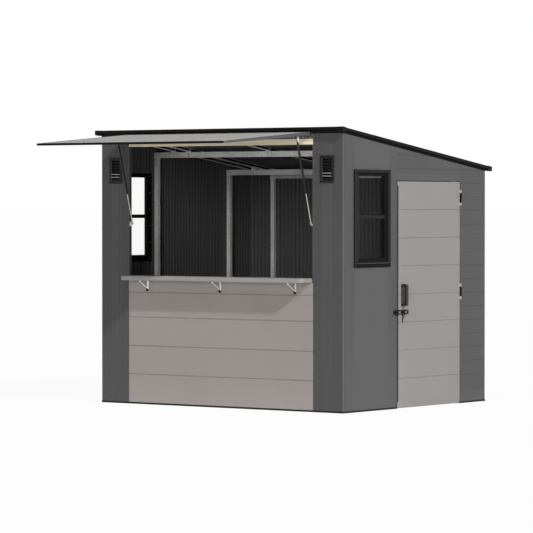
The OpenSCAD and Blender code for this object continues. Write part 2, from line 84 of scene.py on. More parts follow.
# ---------------------------------------------------------------- materials
def new_material(name):
    mat = bpy.data.materials.new(name)
    mat.use_nodes = True
    nodes, links = mat.node_tree.nodes, mat.node_tree.links
    shader = next(n for n in nodes if n.type == "BSDF_PRINCIPLED")
    return mat, nodes, links, shader


def noise(nodes, links, coords, stretch, detail=5.0, rough=0.6, distortion=0.0):
    """Noise whose cells are 1/stretch metres long on each axis."""
    mapping = nodes.new("ShaderNodeMapping")
    mapping.inputs["Scale"].default_value = stretch
    links.new(coords, mapping.inputs["Vector"])
    tex = nodes.new("ShaderNodeTexNoise")
    tex.inputs["Scale"].default_value = 1.0
    tex.inputs["Detail"].default_value = detail
    tex.inputs["Roughness"].default_value = rough
    tex.inputs["Distortion"].default_value = distortion
    links.new(mapping.outputs["Vector"], tex.inputs["Vector"])
    return tex.outputs["Fac"]


def remap(nodes, links, value, low_in, high_in, low_out, high_out):
    node = nodes.new("ShaderNodeMapRange")
    node.inputs["From Min"].default_value = low_in
    node.inputs["From Max"].default_value = high_in
    node.inputs["To Min"].default_value = low_out
    node.inputs["To Max"].default_value = high_out
    links.new(value, node.inputs["Value"])
    return node.outputs["Result"]


def math_node(nodes, links, kind, a, b):
    node = nodes.new("ShaderNodeMath")
    node.operation = kind
    for socket, value in zip(node.inputs, (a, b)):
        if isinstance(value, (int, float)):
            socket.default_value = value
        else:
            links.new(value, socket)
    return node.outputs[0]


def shade(tone, factor):
    return tuple(min(1.0, c * factor) for c in tone) + (1.0,)


def ramp(nodes, links, value, stops):
    node = nodes.new("ShaderNodeValToRGB")
    band = node.color_ramp
    while len(band.elements) < len(stops):
        band.elements.new(0.5)
    for element, (place, colour) in zip(band.elements, stops):
        element.position = place
        element.color = colour
    links.new(value, node.inputs["Fac"])
    return node.outputs["Color"]


def blend_colour(nodes, links, kind, factor, a, b):
    node = nodes.new("ShaderNodeMix")
    node.data_type = "RGBA"
    node.blend_type = kind
    for socket, value in ((node.inputs[0], factor), (node.inputs[6], a), (node.inputs[7], b)):
        if hasattr(value, "is_linked"):
            links.new(value, socket)
        else:
            socket.default_value = value
    return node.outputs[2]


def emboss(nodes, links, shader, height, strength, distance):
    """Bump on the shader from a height value."""
    relief = nodes.new("ShaderNodeBump")
    relief.inputs["Strength"].default_value = strength
    relief.inputs["Distance"].default_value = distance
    links.new(height, relief.inputs["Height"])
    links.new(relief.outputs["Normal"], shader.inputs["Normal"])


def surface(
    name, tone, rough, stretch, spread=0.1, metal=0.0, specular=0.35, blotch=0.06, peel=900.0,
    bump=0.25, depth=1.0, edge=0.12, rough_spread=0.08,
):
    """A moulded or coated surface: stretched grain, soft blotches, fine peel and paler edges."""
    mat, nodes, links, shader = new_material(name)
    coords = nodes.new("ShaderNodeTexCoord").outputs["Object"]
    grain = noise(nodes, links, coords, stretch, 6.0, 0.65, 0.2)
    cloud = noise(nodes, links, coords, (2.3, 2.3, 1.7), 3.0, 0.5)
    fine = noise(nodes, links, coords, (peel, peel, peel), 2.0, 0.5)
    colour = ramp(nodes, links, grain, [
        (0.28, shade(tone, 1 - spread)), (0.5, shade(tone, 1.0)), (0.74, shade(tone, 1 + spread)),
    ])
    tint = ramp(nodes, links, cloud, [
        (0.3, shade((1, 1, 1), 1 - blotch)), (0.7, (1.0, 1.0, 1.0, 1.0)),
    ])
    colour = blend_colour(nodes, links, "MULTIPLY", 1.0, colour, tint)
    geometry = nodes.new("ShaderNodeNewGeometry")
    # sharp convex edges turn paler, by pointiness
    edge_paling = remap(nodes, links, geometry.outputs["Pointiness"], 0.52, 0.62, 0.0, edge)
    colour = blend_colour(nodes, links, "SCREEN", edge_paling, colour, shade(tone, 1.6))
    links.new(colour, shader.inputs["Base Color"])
    links.new(
        remap(nodes, links, grain, 0.3, 0.7, rough - rough_spread, rough + rough_spread),
        shader.inputs["Roughness"],
    )
    shader.inputs["Metallic"].default_value = metal
    shader.inputs["Specular IOR Level"].default_value = specular
    height = math_node(nodes, links, "MULTIPLY_ADD", fine, 0.35)
    links.new(grain, height.node.inputs[2])
    emboss(nodes, links, shader, height, bump, depth * MM)
    return mat


def galvanised(name, tone, rough, metal):
    """Zinc-coated steel: spangle, drawn lines and duller patches."""
    mat, nodes, links, shader = new_material(name)
    coords = nodes.new("ShaderNodeTexCoord").outputs["Object"]
    cells = nodes.new("ShaderNodeTexVoronoi")
    cells.inputs["Scale"].default_value = 95.0
    links.new(coords, cells.inputs["Vector"])
    drawn = noise(nodes, links, coords, (420.0, 420.0, 9.0), 3.0, 0.5)
    patch = noise(nodes, links, coords, (6.0, 6.0, 3.0), 5.0, 0.6)
    spangle = ramp(nodes, links, cells.outputs["Color"], [
        (0.1, shade(tone, 0.86)), (0.9, shade(tone, 1.1)),
    ])
    dull = ramp(nodes, links, patch, [(0.35, (0.78, 0.77, 0.75, 1.0)), (0.65, (1.0, 1.0, 1.0, 1.0))])
    links.new(blend_colour(nodes, links, "MULTIPLY", 1.0, spangle, dull), shader.inputs["Base Color"])
    links.new(remap(nodes, links, patch, 0.3, 0.7, rough + 0.1, rough - 0.08), shader.inputs["Roughness"])
    shader.inputs["Metallic"].default_value = metal
    emboss(nodes, links, shader, drawn, 0.12, 0.3 * MM)
    return mat


def grained_tan(name, tone):
    """Pale wood-like grain streaked along X; on the header its tan tone is a painted warm reflection."""
    mat, nodes, links, shader = new_material(name)
    coords = nodes.new("ShaderNodeTexCoord").outputs["Object"]
    grain = noise(nodes, links, coords, (2.2, 60.0, 85.0), 8.0, 0.62, 0.5)
    pores = noise(nodes, links, coords, (14.0, 700.0, 900.0), 3.0, 0.5)
    colour = ramp(nodes, links, grain, [
        (0.3, shade(tone, 0.72)), (0.48, shade(tone, 0.98)), (0.6, shade(tone, 1.06)),
        (0.75, shade(tone, 0.84)),
    ])
    fleck = ramp(nodes, links, pores, [(0.35, (0.86, 0.83, 0.78, 1.0)), (0.5, (1.0, 1.0, 1.0, 1.0))])
    links.new(blend_colour(nodes, links, "MULTIPLY", 0.7, colour, fleck), shader.inputs["Base Color"])
    shader.inputs["Roughness"].default_value = 0.7
    shader.inputs["Specular IOR Level"].default_value = 0.3
    emboss(nodes, links, shader, grain, 0.3, 0.6 * MM)
    return mat


def pane(name):
    """Thin clear acrylic with faint smears."""
    mat, nodes, links, shader = new_material(name)
    coords = nodes.new("ShaderNodeTexCoord").outputs["Object"]
    smear = noise(nodes, links, coords, (3.0, 5.0, 2.0), 5.0, 0.7, 1.2)
    links.new(
        ramp(nodes, links, smear, [(0.3, (0.03, 0.032, 0.034, 1.0)), (0.7, (0.07, 0.072, 0.075, 1.0))]),
        shader.inputs["Base Color"],
    )
    links.new(remap(nodes, links, smear, 0.3, 0.7, 0.03, 0.09), shader.inputs["Roughness"])
    shader.inputs["Alpha"].default_value = 0.03
    shader.inputs["IOR"].default_value = 1.49
    return mat


UPRIGHT = (260.0, 260.0, 3.0)
LEVEL = (3.0, 260.0, 260.0)
LEVEL_SIDE = (260.0, 3.0, 260.0)
ROUND = (60.0, 60.0, 60.0)

M = {
    # the front copy of the dark resin is darker than the side copy: painted shade on the same resin
    "dark_front_shade": surface("resin_dark_front_painted_shade", (0.066, 0.066, 0.067), 0.6, UPRIGHT, 0.12, specular=0.2),
    "dark_side": surface("resin_dark_side", (0.080, 0.080, 0.082), 0.6, UPRIGHT, 0.08, specular=0.2),
    "inner": surface("resin_inner_skin", (0.085, 0.085, 0.088), 0.6, UPRIGHT, 0.2, specular=0.2),
    # floors of the inner skin's rib grooves: painted shade
    "inner_groove_shade": surface("resin_inner_groove_painted_shade", (0.035, 0.035, 0.037), 0.7, UPRIGHT, 0.2, specular=0.1),
    "greige": surface("resin_greige_front", (0.296, 0.266, 0.254), 0.6, LEVEL, 0.06, specular=0.2),
    "greige_door": surface("resin_greige_door", (0.255, 0.242, 0.231), 0.6, LEVEL_SIDE, 0.06, specular=0.2),
    # the flap's greige, made paler as a painted sheen on its top
    "greige_flap_sheen": surface("resin_greige_flap_painted_sheen", (0.385, 0.373, 0.36), 0.7, LEVEL, 0.05, specular=0.08),
    # a painted highlight on the near corner's rounding
    "corner_highlight": surface("resin_corner_painted_highlight", (0.105, 0.106, 0.11), 0.6, UPRIGHT, 0.1, specular=0.2),
    "counter": surface("resin_counter", (0.300, 0.288, 0.276), 0.55, LEVEL, 0.06, specular=0.2),
    # the header's tan tone is a painted warm reflection, raised against the flap's shade
    "tan": grained_tan("header_painted_warm_reflection", (0.90, 0.80, 0.58)),
    "roof": surface("roof_black", (0.008, 0.008, 0.009), 0.6, (200.0, 4.0, 200.0), 0.25, specular=0.1),
    "trim": surface("trim_black", (0.005, 0.005, 0.006), 0.45, ROUND, 0.25, specular=0.08, bump=0.12),
    "sole": surface("floor_black", (0.012, 0.012, 0.013), 0.6, (40.0, 40.0, 40.0), 0.25, specular=0.15),
    # black standing for shade: the left corner's strip and the rafters' webs
    "shade_black": surface("painted_shade_black", (0.010, 0.010, 0.011), 0.7, ROUND, 0.2, specular=0.1, bump=0.15),
    "window": surface("window_black", (0.012, 0.012, 0.013), 0.5, ROUND, 0.2, specular=0.12, bump=0.12),
    # the window's recess and bottom rail: black painted shade
    "reveal_shade": surface("window_reveal_painted_shade", (0.006, 0.006, 0.0065), 0.6, ROUND, 0.2, specular=0.05, bump=0.12),
    "sill": surface("window_sill", (0.085, 0.085, 0.088), 0.5, ROUND, 0.12, specular=0.25, bump=0.12),
    "vent": surface("vent_black", (0.009, 0.009, 0.010), 0.4, ROUND, 0.2, specular=0.2, bump=0.12),
    "glass": pane("window_glass"),
    "steel": galvanised("steel_galvanised", (0.88, 0.87, 0.85), 0.42, 0.1),
    "plate": galvanised("steel_plate", (0.96, 0.95, 0.93), 0.4, 0.0),
    "bolt": galvanised("steel_bolt", (0.52, 0.52, 0.51), 0.35, 0.7),
    "flap_frame": surface("flap_frame_grey", (0.10, 0.10, 0.102), 0.5, ROUND, 0.08, metal=0.2, bump=0.1,
                          specular=0.2),
    "white_cap": surface("white_cap", (0.78, 0.78, 0.76), 0.4, ROUND, 0.04, bump=0.08),
    "black_metal": surface("black_metal", (0.006, 0.006, 0.007), 0.4, ROUND, 0.25, metal=0.3, bump=0.15,
                           specular=0.12),
    "handle": surface("handle_black", (0.018, 0.018, 0.020), 0.38, ROUND, 0.2, bump=0.15, specular=0.3),
    "strut": surface("strut_black", (0.008, 0.008, 0.009), 0.3, ROUND, 0.15, metal=0.2, bump=0.08),
    "rod": galvanised("strut_rod", (0.66, 0.61, 0.53), 0.28, 0.7),
}


# ---------------------------------------------------------------- mesh building
class Shape:
    """Collects the faces of one piece, in metres, in the row frame."""

    def __init__(self):
        self.verts, self.faces, self.skins = [], [], []

    def add(self, verts, faces, skin=0):
        base = len(self.verts)
        self.verts += [tuple(v) for v in verts]
        self.faces += [[base + i for i in face] for face in faces]
        self.skins += [skin] * len(faces)

    def block(self, lo, hi, skin=0, place=None):
        corners = [(x, y, z) for x in (lo[0], hi[0]) for y in (lo[1], hi[1]) for z in (lo[2], hi[2])]
        if place:
            corners = [place @ Vector(c) for c in corners]
        faces = [(0, 1, 3, 2), (4, 6, 7, 5), (0, 4, 5, 1), (2, 3, 7, 6), (0, 2, 6, 4), (1, 5, 7, 3)]
        self.add(corners, faces, skin)

    def prism(self, outline, place, near, far, skin=0):
        """An outline of (a, b) points carried from near to far by place(a, b, t)."""
        n = len(outline)
        verts = [place(a, b, t) for t in (near, far) for a, b in outline]
        faces = [(i, (i + 1) % n, n + (i + 1) % n, n + i) for i in range(n)]
        faces += [tuple(reversed(range(n))), tuple(range(n, 2 * n))]
        self.add(verts, faces, skin)

    def lathe(self, start, axis, profile, skin=0, sides=24):
        """Rings of (distance along the axis, radius); a radius of 0 closes an end."""
        axis = Vector(axis).normalized()
        side = axis.orthogonal().normalized()
        other = axis.cross(side)
        start = Vector(start)
        verts, rings = [], []
        for along, radius in profile:
            centre = start + axis * along
            if radius == 0:
                rings.append([len(verts)])
                verts.append(centre)
                continue
            rings.append(list(range(len(verts), len(verts) + sides)))
            for k in range(sides):
                turn = 2 * math.pi * k / sides
                verts.append(centre + (side * math.cos(turn) + other * math.sin(turn)) * radius)
        faces = []
        for a, b in zip(rings, rings[1:]):
            for k in range(sides):
                j = (k + 1) % sides
                quad = [a[k % len(a)], a[j % len(a)], b[j % len(b)], b[k % len(b)]]
                faces.append(list(dict.fromkeys(quad)))
        if len(rings[0]) > 1:
            faces.append(rings[0][::-1])
        if len(rings[-1]) > 1:
            faces.append(rings[-1])
        self.add(verts, faces, skin)

    def rod(self, start, end, radius, skin=0, sides=20, edge=0.25):
        """A round bar with softened ends."""
        length = (Vector(end) - Vector(start)).length
        soft = min(radius * edge, length * 0.3)
        self.lathe(start, Vector(end) - Vector(start), [
            (0, radius - soft), (soft, radius), (length - soft, radius), (length, radius - soft),
        ], skin, sides)

    def sweep(self, path, radius, skin=0, sides=10, closed=False):
        """A round section carried along a path of points."""
        path = [Vector(p) for p in path]
        count = len(path)
        up = Vector((0.31, 0.57, 0.76))
        verts, faces = [], []
        for i, point in enumerate(path):
            before = path[i - 1] if closed or i else point
            after = path[(i + 1) % count] if closed or i < count - 1 else point
            along = (after - before).normalized()
            side = along.cross(up).normalized()
            other = along.cross(side)
            for k in range(sides):
                turn = 2 * math.pi * k / sides
                verts.append(point + (side * math.cos(turn) + other * math.sin(turn)) * radius)
        for i in range(count if closed else count - 1):
            for k in range(sides):
                j, n = (k + 1) % sides, ((i + 1) % count) * sides
                faces.append((i * sides + k, i * sides + j, n + j, n + k))
        if not closed:
            faces += [tuple(reversed(range(sides))), tuple(range((count - 1) * sides, count * sides))]
        self.add(verts, faces, skin)

    def screw(self, at, normal, radius=4.5 * MM, height=2 * MM, skin=0):
        """A domed screw head with a recess."""
        self.lathe(at, normal, [
            (-height, radius * 0.9), (height * 0.3, radius), (height * 0.8, radius * 0.75),
            (height, radius * 0.4), (height * 0.2, radius * 0.3), (height * 0.2, 0),
        ], skin, 12)

    def bolt(self, at, normal, radius=7 * MM, height=5 * MM, skin=0):
        """A washer and a hexagon head."""
        at, normal = Vector(at), Vector(normal)
        self.lathe(at - normal * MM, normal, [(0, radius * 1.5), (2.2 * MM, radius * 1.5), (2.6 * MM, 0)],
                   skin)
        self.lathe(at, normal, [
            (0, radius), (height * 0.8, radius), (height, radius * 0.85), (height, 0),
        ], skin, 6)


def piece(shape, node, skins, body="shell", edge=0.0, rounds=2, sharp=32):
    """Makes the object that stands for a node, softens its edges and sets it on its body."""
    name = node + "_look"
    mesh = bpy.data.meshes.new(name)
    mesh.from_pydata(shape.verts, [], shape.faces)
    for skin in skins:
        mesh.materials.append(M[skin])
    mesh.polygons.foreach_set("material_index", shape.skins)
    work = bmesh.new()
    work.from_mesh(mesh)
    bmesh.ops.recalc_face_normals(work, faces=work.faces)
    work.to_mesh(mesh)
    work.free()
    mesh.polygons.foreach_set("use_smooth", [True] * len(mesh.polygons))
    mesh.set_sharp_from_angle(angle=math.radians(sharp))
    obj = bpy.data.objects.new(name, mesh)
    bpy.context.scene.collection.objects.link(obj)
    if edge:
        soft = obj.modifiers.new("soft_edges", "BEVEL")
        soft.width = edge
        soft.segments = rounds
        soft.limit_method = "ANGLE"
        soft.angle_limit = math.radians(sharp)
        soft.harden_normals = True
    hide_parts(node)
    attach(obj, body)


def groove(at, half, depth):
    """Break points of one moulded groove."""
    return [(at - half, 0.0), (at - half * 0.35, depth), (at + half * 0.35, depth), (at + half, 0.0)]


def board_groove(at, half, depth):
    """A board joint: steep above, with a lower lip that faces up to the light."""
    return [(at - half * 1.3, 0.0), (at - half * 0.2, depth), (at + half * 0.5, depth),
            (at + half * 0.75, 0.0)]


def grooves(places, half, depth, kind=groove):
    return [point for at in places for point in kind(at, half, depth)]


def rounding(start, radius, sign):
    """Break points of a rounded edge that begins at start and runs along sign."""
    steps = [0.0, 0.08, 0.29, 0.62, 1.0]
    return [(start + sign * radius * t, radius - radius * math.sqrt(1 - (1 - t) ** 2)) for t in steps]


def panel(shape, place, u_span, v_span, w_face, w_back, face_u=(), face_v=(), back_u=(), back_v=(),
          limit=None, holes=(), lines_u=(), skins=(0, 1, 1), paint=None):
    """A double-skin panel with grooves in real depth on both skins.

    u runs along the panel, v up and w outwards. limit(u, w) cuts the top to the roof.
    paint(u) may name another skin for a strip of the face, used for painted highlights and painted shade;
    skins[2] colours the back's groove floors as painted shade.
    """
    def depth_of(points, values):
        if not points:
            return np.zeros(len(values))
        points = sorted(points)
        return np.interp(values, [p[0] for p in points], [p[1] for p in points])

    def lines(span, sets, extra):
        values = set(span) | set(extra)
        for points in sets:
            values |= {p[0] for p in points}
        return sorted({round(v, 7) for v in values if span[0] - 1e-9 <= v <= span[1] + 1e-9})

    us = lines(u_span, (face_u, back_u), [e for h in holes for e in h[:2]] + list(lines_u))
    vs = lines(v_span, (face_v, back_v), [e for h in holes for e in h[2:]])
    cut_u = (depth_of(face_u, us), depth_of(back_u, us))
    cut_v = (depth_of(face_v, vs), depth_of(back_v, vs))
    index = {}

    def vertex(skin, i, j):
        """Vertex number on the face (0) or the back (1)."""
        top = limit(us[i], w_back if skin else w_face) if limit else v_span[1]
        v = min(vs[j], top)
        cut = max(cut_u[skin][i], cut_v[skin][j] if v == vs[j] else float(np.interp(v, vs, cut_v[skin])))
        w = w_back + cut if skin else w_face - cut
        key = (skin, i, round(v, 7))
        if key not in index:
            index[key] = len(shape.verts)
            shape.verts.append(tuple(place(us[i], v, w)))
        return index[key]

    def solid(i, j):
        if not (0 <= i < len(us) - 1 and 0 <= j < len(vs) - 1):
            return False
        u, v = (us[i] + us[i + 1]) / 2, (vs[j] + vs[j + 1]) / 2
        if any(h[0] < u < h[1] and h[2] < v < h[3] for h in holes):
            return False
        if not limit:
            return True
        return vs[j] < max(limit(us[k], w) for k in (i, i + 1) for w in (w_face, w_back)) - 1e-7

    def face(corners, skin):
        corners = list(dict.fromkeys(corners))
        if len(corners) > 2:
            shape.faces.append(corners)
            shape.skins.append(skin)

    for i in range(len(us) - 1):
        for j in range(len(vs) - 1):
            if not solid(i, j):
                continue
            # back faces on the floor of a rib groove take skins[2], painted shade
            groove_floor_shaded = min(cut_u[1][i], cut_u[1][i + 1]) > 1 * MM
            tones = (paint((us[i] + us[i + 1]) / 2) if paint else skins[0], skins[2 if groove_floor_shaded else 1])
            for skin in (0, 1):
                face([vertex(skin, i, j), vertex(skin, i + 1, j), vertex(skin, i + 1, j + 1),
                      vertex(skin, i, j + 1)], tones[skin])
            for di, dj, a, b in ((-1, 0, (i, j), (i, j + 1)), (1, 0, (i + 1, j), (i + 1, j + 1)),
                                 (0, -1, (i, j), (i + 1, j)), (0, 1, (i, j + 1), (i + 1, j + 1))):
                if not solid(i + di, j + dj):
                    face([vertex(0, *a), vertex(0, *b), vertex(1, *b), vertex(1, *a)], skins[0])


def on_front(u, v, w):
    return (u, -w, v)


def on_back(u, v, w):
    return (u, w, v)


def on_right(u, v, w):
    return (w, u, v)


def on_left(u, v, w):
    return (-w, u, v)


def front_limit(u, w):
    return roof_under(-w)


def back_limit(u, w):
    return roof_under(w)


def side_limit(u, w):
    return roof_under(u)


def spaced(start, end, pitch):
    """Even places between start and end, near the pitch asked for."""
    count = max(1, round((end - start) / pitch))
    return [start + (end - start) * (k + 0.5) / count for k in range(count)]


# ---------------------------------------------------------------- walls
RIB_PITCH = 40 * MM
FINE_PITCH = 58 * MM
BOARD_PITCH = 112 * MM
BOARD_TOP = 2026 * MM
BOARD_LINES = [BOARD_TOP - k * BOARD_PITCH for k in range(18)]
BAY_LINES = [z * MM for z in (245, 476, 711, 917)]
DOOR_LINES = [z * MM for z in (239, 465, 688, 911, 1138, 1362, 1586)]
CORNER_CUTS = [d * MM for d in (22, 60, 96, 104, 150, 186, 232, 262)]
CORNER_R = 9 * MM
JAMB_LIP = 5 * MM
STRIP_H = 41 * MM
HINGE_XS = (-790 * MM, 0.0, 790 * MM)


def ribs(start, end):
    return grooves(spaced(start, end, RIB_PITCH), 8 * MM, 6 * MM)


def fine(start, end):
    return grooves(spaced(start, end, FINE_PITCH), 2.6 * MM, 1.1 * MM)


def boards(lines, half=3.2, depth=1.9):
    return grooves(lines, half * MM, depth * MM)


def lines_along(start, end, step=0.06):
    return list(np.linspace(start, end, max(2, int((end - start) / step))))


def window_rect():
    """y and z span of a window over its flange."""
    node = "window_frame_right"
    return low(node, 1), high(node, 1), low(node, 2), high(node, 2)


LAP = 16 * MM
WIN = window_rect()
WIN_HOLE = (WIN[0] + LAP, WIN[1] - LAP, WIN[2] + LAP, WIN[3] - LAP)
VENT_W, VENT_RIM = 132 * MM, 14 * MM
VENT = (high("vents", 0) - VENT_W, high("vents", 0), low("vents", 2), high("vents", 2))


def front_corner(side):
    name = "front_corner_right" if side > 0 else "front_corner_left"
    shape = Shape()
    u0, u1 = (BAY, SIDE) if side > 0 else (-SIDE, -BAY)
    hole = (VENT[0] + VENT_RIM, VENT[1] - VENT_RIM) if side > 0 else (-VENT[1] + VENT_RIM,
            -VENT[0] - VENT_RIM)
    ends = rounding(side * SIDE, CORNER_R, -side)
    cuts = grooves([side * (BAY + d) for d in CORNER_CUTS], 2.2 * MM, 1.4 * MM)
    panel(shape, on_front, (u0, u1), (SOLE, roof_under(-FRONT)), FRONT, FRONT_IN,
          face_u=cuts + ends, back_u=ribs(u0, u1), limit=front_limit,
          holes=[(hole[0], hole[1], VENT[2] + VENT_RIM, VENT[3] - VENT_RIM)],
          skins=(0, 1, 2), paint=lambda u: 3 if abs(u) > SIDE - 4 * MM else 0)
    lip = side * (BAY - JAMB_LIP)
    shape.block((min(lip, side * BAY), -FRONT, COUNTER_TOP), (max(lip, side * BAY), -FRONT_IN, HEADER))
    # the outer corner strip is painted: a pale highlight on the right corner, black painted shade on the
    # left
    edge = "corner_highlight" if side > 0 else "shade_black"
    piece(shape, name, ["dark_front_shade", "inner", "inner_groove_shade", edge], sharp=25)


def side_panel(name, place, face_skin, span, z0, holes=(), upright=False, lined=True):
    shape = Shape()
    face_u = fine(*span) if upright else []
    face_v = boards(BOARD_LINES) if lined else []
    edge = rounding(span[0], 2.5 * MM, 1) + rounding(span[1], 2.5 * MM, -1)
    panel(shape, place, span, (z0, roof_under(span[0])), SIDE, SIDE_IN,
          face_u=face_u + edge, face_v=face_v, back_u=ribs(*span), limit=side_limit,
          holes=holes, lines_u=lines_along(*span), skins=(0, 1, 2))
    piece(shape, name, [face_skin, "inner", "inner_groove_shade"], sharp=25)


def side_walls():
    side_panel("right_wall_front", on_right, "dark_side", (-FRONT_IN, DOORWAY[0]), SOLE, [WIN_HOLE], True,
               False)
    side_panel("right_wall_over_door", on_right, "dark_side", DOORWAY, DOORWAY_TOP)
    side_panel("right_wall_back", on_right, "dark_side", (DOORWAY[1], BACK_IN), SOLE)
    side_panel("left_wall_front", on_left, "dark_side", (-FRONT_IN, SIDE_SEAM), SOLE, [WIN_HOLE], True,
               False)
    side_panel("left_wall_back", on_left, "dark_side", (SIDE_SEAM, BACK_IN), SOLE)


def back_walls():
    for name, u0, u1 in (("back_wall_left", -SIDE, -SEAM), ("back_wall_right", SEAM, SIDE)):
        shape = Shape()
        outer_end = -1 if u0 < -SEAM else 1
        edge = rounding(outer_end * SIDE, CORNER_R, -outer_end) + rounding(outer_end * SEAM, 2.5 * MM,
                outer_end)
        panel(shape, on_back, (u0, u1), (SOLE, roof_under(BACK_IN)), BACK, BACK_IN, face_u=edge,
              face_v=boards(BOARD_LINES), back_u=ribs(u0, u1), limit=back_limit, skins=(0, 1, 2))
        piece(shape, name, ["dark_side", "inner", "inner_groove_shade"], sharp=25)


def bay():
    """The greige boards under the counter and the header over the opening, its tan a painted warm
    reflection.
    """
    shape = Shape()
    edge = [(s * (BAY - 20 * MM) + d * MM, c) for s in (-1, 1) for d,
            c in ((-2.5, 0), (-0.8, 2 * MM), (0.8, 2 * MM), (2.5, 0))]
    panel(shape, on_front, (-BAY, BAY), (SOLE, SILL), FRONT, FRONT_IN,
          face_u=edge + rounding(-BAY, 2 * MM, 1) + rounding(BAY, 2 * MM, -1),
          face_v=grooves(BAY_LINES, 6 * MM, 5 * MM, board_groove), back_u=ribs(-BAY, BAY))
    piece(shape, "front_lower_panel", ["greige", "inner"], sharp=25)
    shape = Shape()
    panel(shape, on_front, (-BAY, BAY), (HEADER, roof_under(-FRONT)), FRONT, FRONT_IN,
          face_v=rounding(HEADER, 3 * MM, 1), limit=front_limit)
    strip = roof_under(-FRONT) - STRIP_H
    shape.block((-BAY, -FRONT - 1.5 * MM, strip), (BAY, -FRONT, roof_under(-FRONT) - 1 * MM), 2)
    for x in spaced(-BAY, BAY, 62 * MM):
        if min(abs(x - hinge) for hinge in HINGE_XS) > 95 * MM:
            shape.screw((x, -FRONT - 1.5 * MM, strip + 12 * MM), (0, -1, 0), 4 * MM, 1.6 * MM, 3)
            shape.screw((x + 31 * MM, -FRONT - 1.5 * MM, strip + 29 * MM), (0, -1, 0), 4 * MM, 1.6 * MM, 3)
    piece(shape, "front_header", ["tan", "inner", "flap_frame", "bolt"], sharp=25)


# ---------------------------------------------------------------- roof
def on_roof(x, y, rise):
    return (x, y, roof_under(y) + rise)


ROOF_T = 44 * MM
TRIM_RISE = 18 * MM
TRIM_H = 27 * MM
CAP_DROP = 12 * MM


def roof_panels():
    """Black moulded panels with raised ribs down the fall."""
    rib_half, rib_rise, slope = 16 * MM, 7 * MM, 6 * MM
    for name in ("roof_panel_left", "roof_panel_middle", "roof_panel_right"):
        x0, x1 = low(name, 0), high(name, 0)
        top = [(x0, ROOF_T - rib_rise)]
        for x in spaced(x0, x1, 116 * MM):
            top += [(x - rib_half - slope, ROOF_T - rib_rise), (x - rib_half, ROOF_T),
                    (x + rib_half, ROOF_T), (x + rib_half + slope, ROOF_T - rib_rise)]
        top.append((x1, ROOF_T - rib_rise))
        shape = Shape()
        y0, y1 = -FRONT, BACK
        for (a, ha), (b, hb) in zip(top, top[1:]):
            shape.add([on_roof(a, y0, ha), on_roof(b, y0, hb), on_roof(b, y1, hb), on_roof(a, y1, ha)],
                      [(0, 1, 2, 3)])
        shape.add([on_roof(x, y, 0) for y in (y0, y1) for x in (x0, x1)], [(0, 1, 3, 2)], 1)
        for x, h in (top[0], top[-1]):
            shape.add([on_roof(x, y0, 0), on_roof(x, y1, 0), on_roof(x, y1, h), on_roof(x, y0, h)],
                      [(0, 1, 2, 3)])
        for y in (y0, y1):
            shape.add([on_roof(x0, y, 0), on_roof(x1, y, 0)] + [on_roof(a, y, h) for a, h in reversed(top)],
                      [tuple(range(len(top) + 2))])
        weld(shape)
        piece(shape, name, ["roof", "inner"], edge=1.2 * MM)


def weld(shape):
    """Joins vertices that share a place."""
    index, keep, move = {}, [], []
    for vert in shape.verts:
        key = tuple(round(c, 6) for c in vert)
        if key not in index:
            index[key] = len(keep)
            keep.append(vert)
        move.append(index[key])
    shape.verts = keep
    shape.faces = [[move[i] for i in face] for face in shape.faces]


def nose(out, inset=0.0, drop=0.0):
    """Cross section of the roof trim: distance out and rise, with a rounded nose and a drip line."""
    out -= inset
    top, bottom = TRIM_RISE + TRIM_H - inset, TRIM_RISE + inset - drop
    r = 7 * MM
    points = [(0.0, bottom), (out - 9 * MM, bottom), (out - 8 * MM, bottom + 2 * MM),
              (out - 5 * MM, bottom + 2 * MM),
              (out - 4 * MM, bottom), (out - 1 * MM, bottom), (out, bottom + 1 * MM),
              (out, bottom + 8 * MM),
              (out - 1.5 * MM, bottom + 9 * MM), (out - 1.5 * MM, bottom + 10.5 * MM),
              (out, bottom + 11.5 * MM)]
    for k in range(5):
        turn = math.radians(90 * k / 4)
        points.append((out - r + r * math.cos(turn), top - r + r * math.sin(turn)))
    return points + [(0.0, top)]


def roof_trims():
    cap = 46 * MM
    x_end = high("roof_trim_front", 0)
    side_out = x_end - SIDE
    for name, face, way, out in (("roof_trim_front", -FRONT, -1, -FRONT - low("roof_trim_front", 1)),
                                 ("roof_trim_back", BACK, 1, high("roof_trim_back", 1) - BACK)):
        shape = Shape()
        shape.prism(nose(out, 1 * MM), lambda o, h, x: on_roof(x, face + way * o, h), -x_end + cap,
                    x_end - cap)
        for s in (-1, 1):
            shape.prism(nose(out, 0, CAP_DROP), lambda o, h, x: on_roof(s * x, face + way * o, h),
                        x_end - cap, x_end)
        piece(shape, name, ["trim"], edge=0.8 * MM)
    shape = Shape()
    for s in (-1, 1):
        shape.prism(nose(side_out, 1 * MM), lambda o, h, y: on_roof(s * (SIDE + o), y, h), -FRONT, BACK)
        for y in spaced(-FRONT, BACK, 0.4):
            shape.screw(Vector(on_roof(s * (SIDE + side_out - 1 * MM), y, TRIM_RISE + 16 * MM)), (s, 0, 0),
                        3.5 * MM, 1 * MM)
    piece(shape, "roof_trim_sides", ["trim"], edge=0.8 * MM)


# ---------------------------------------------------------------- windows and vents
STILE, TOP_RAIL, BOTTOM_RAIL, MID_RAIL = 72 * MM, 50 * MM, 72 * MM, 30 * MM


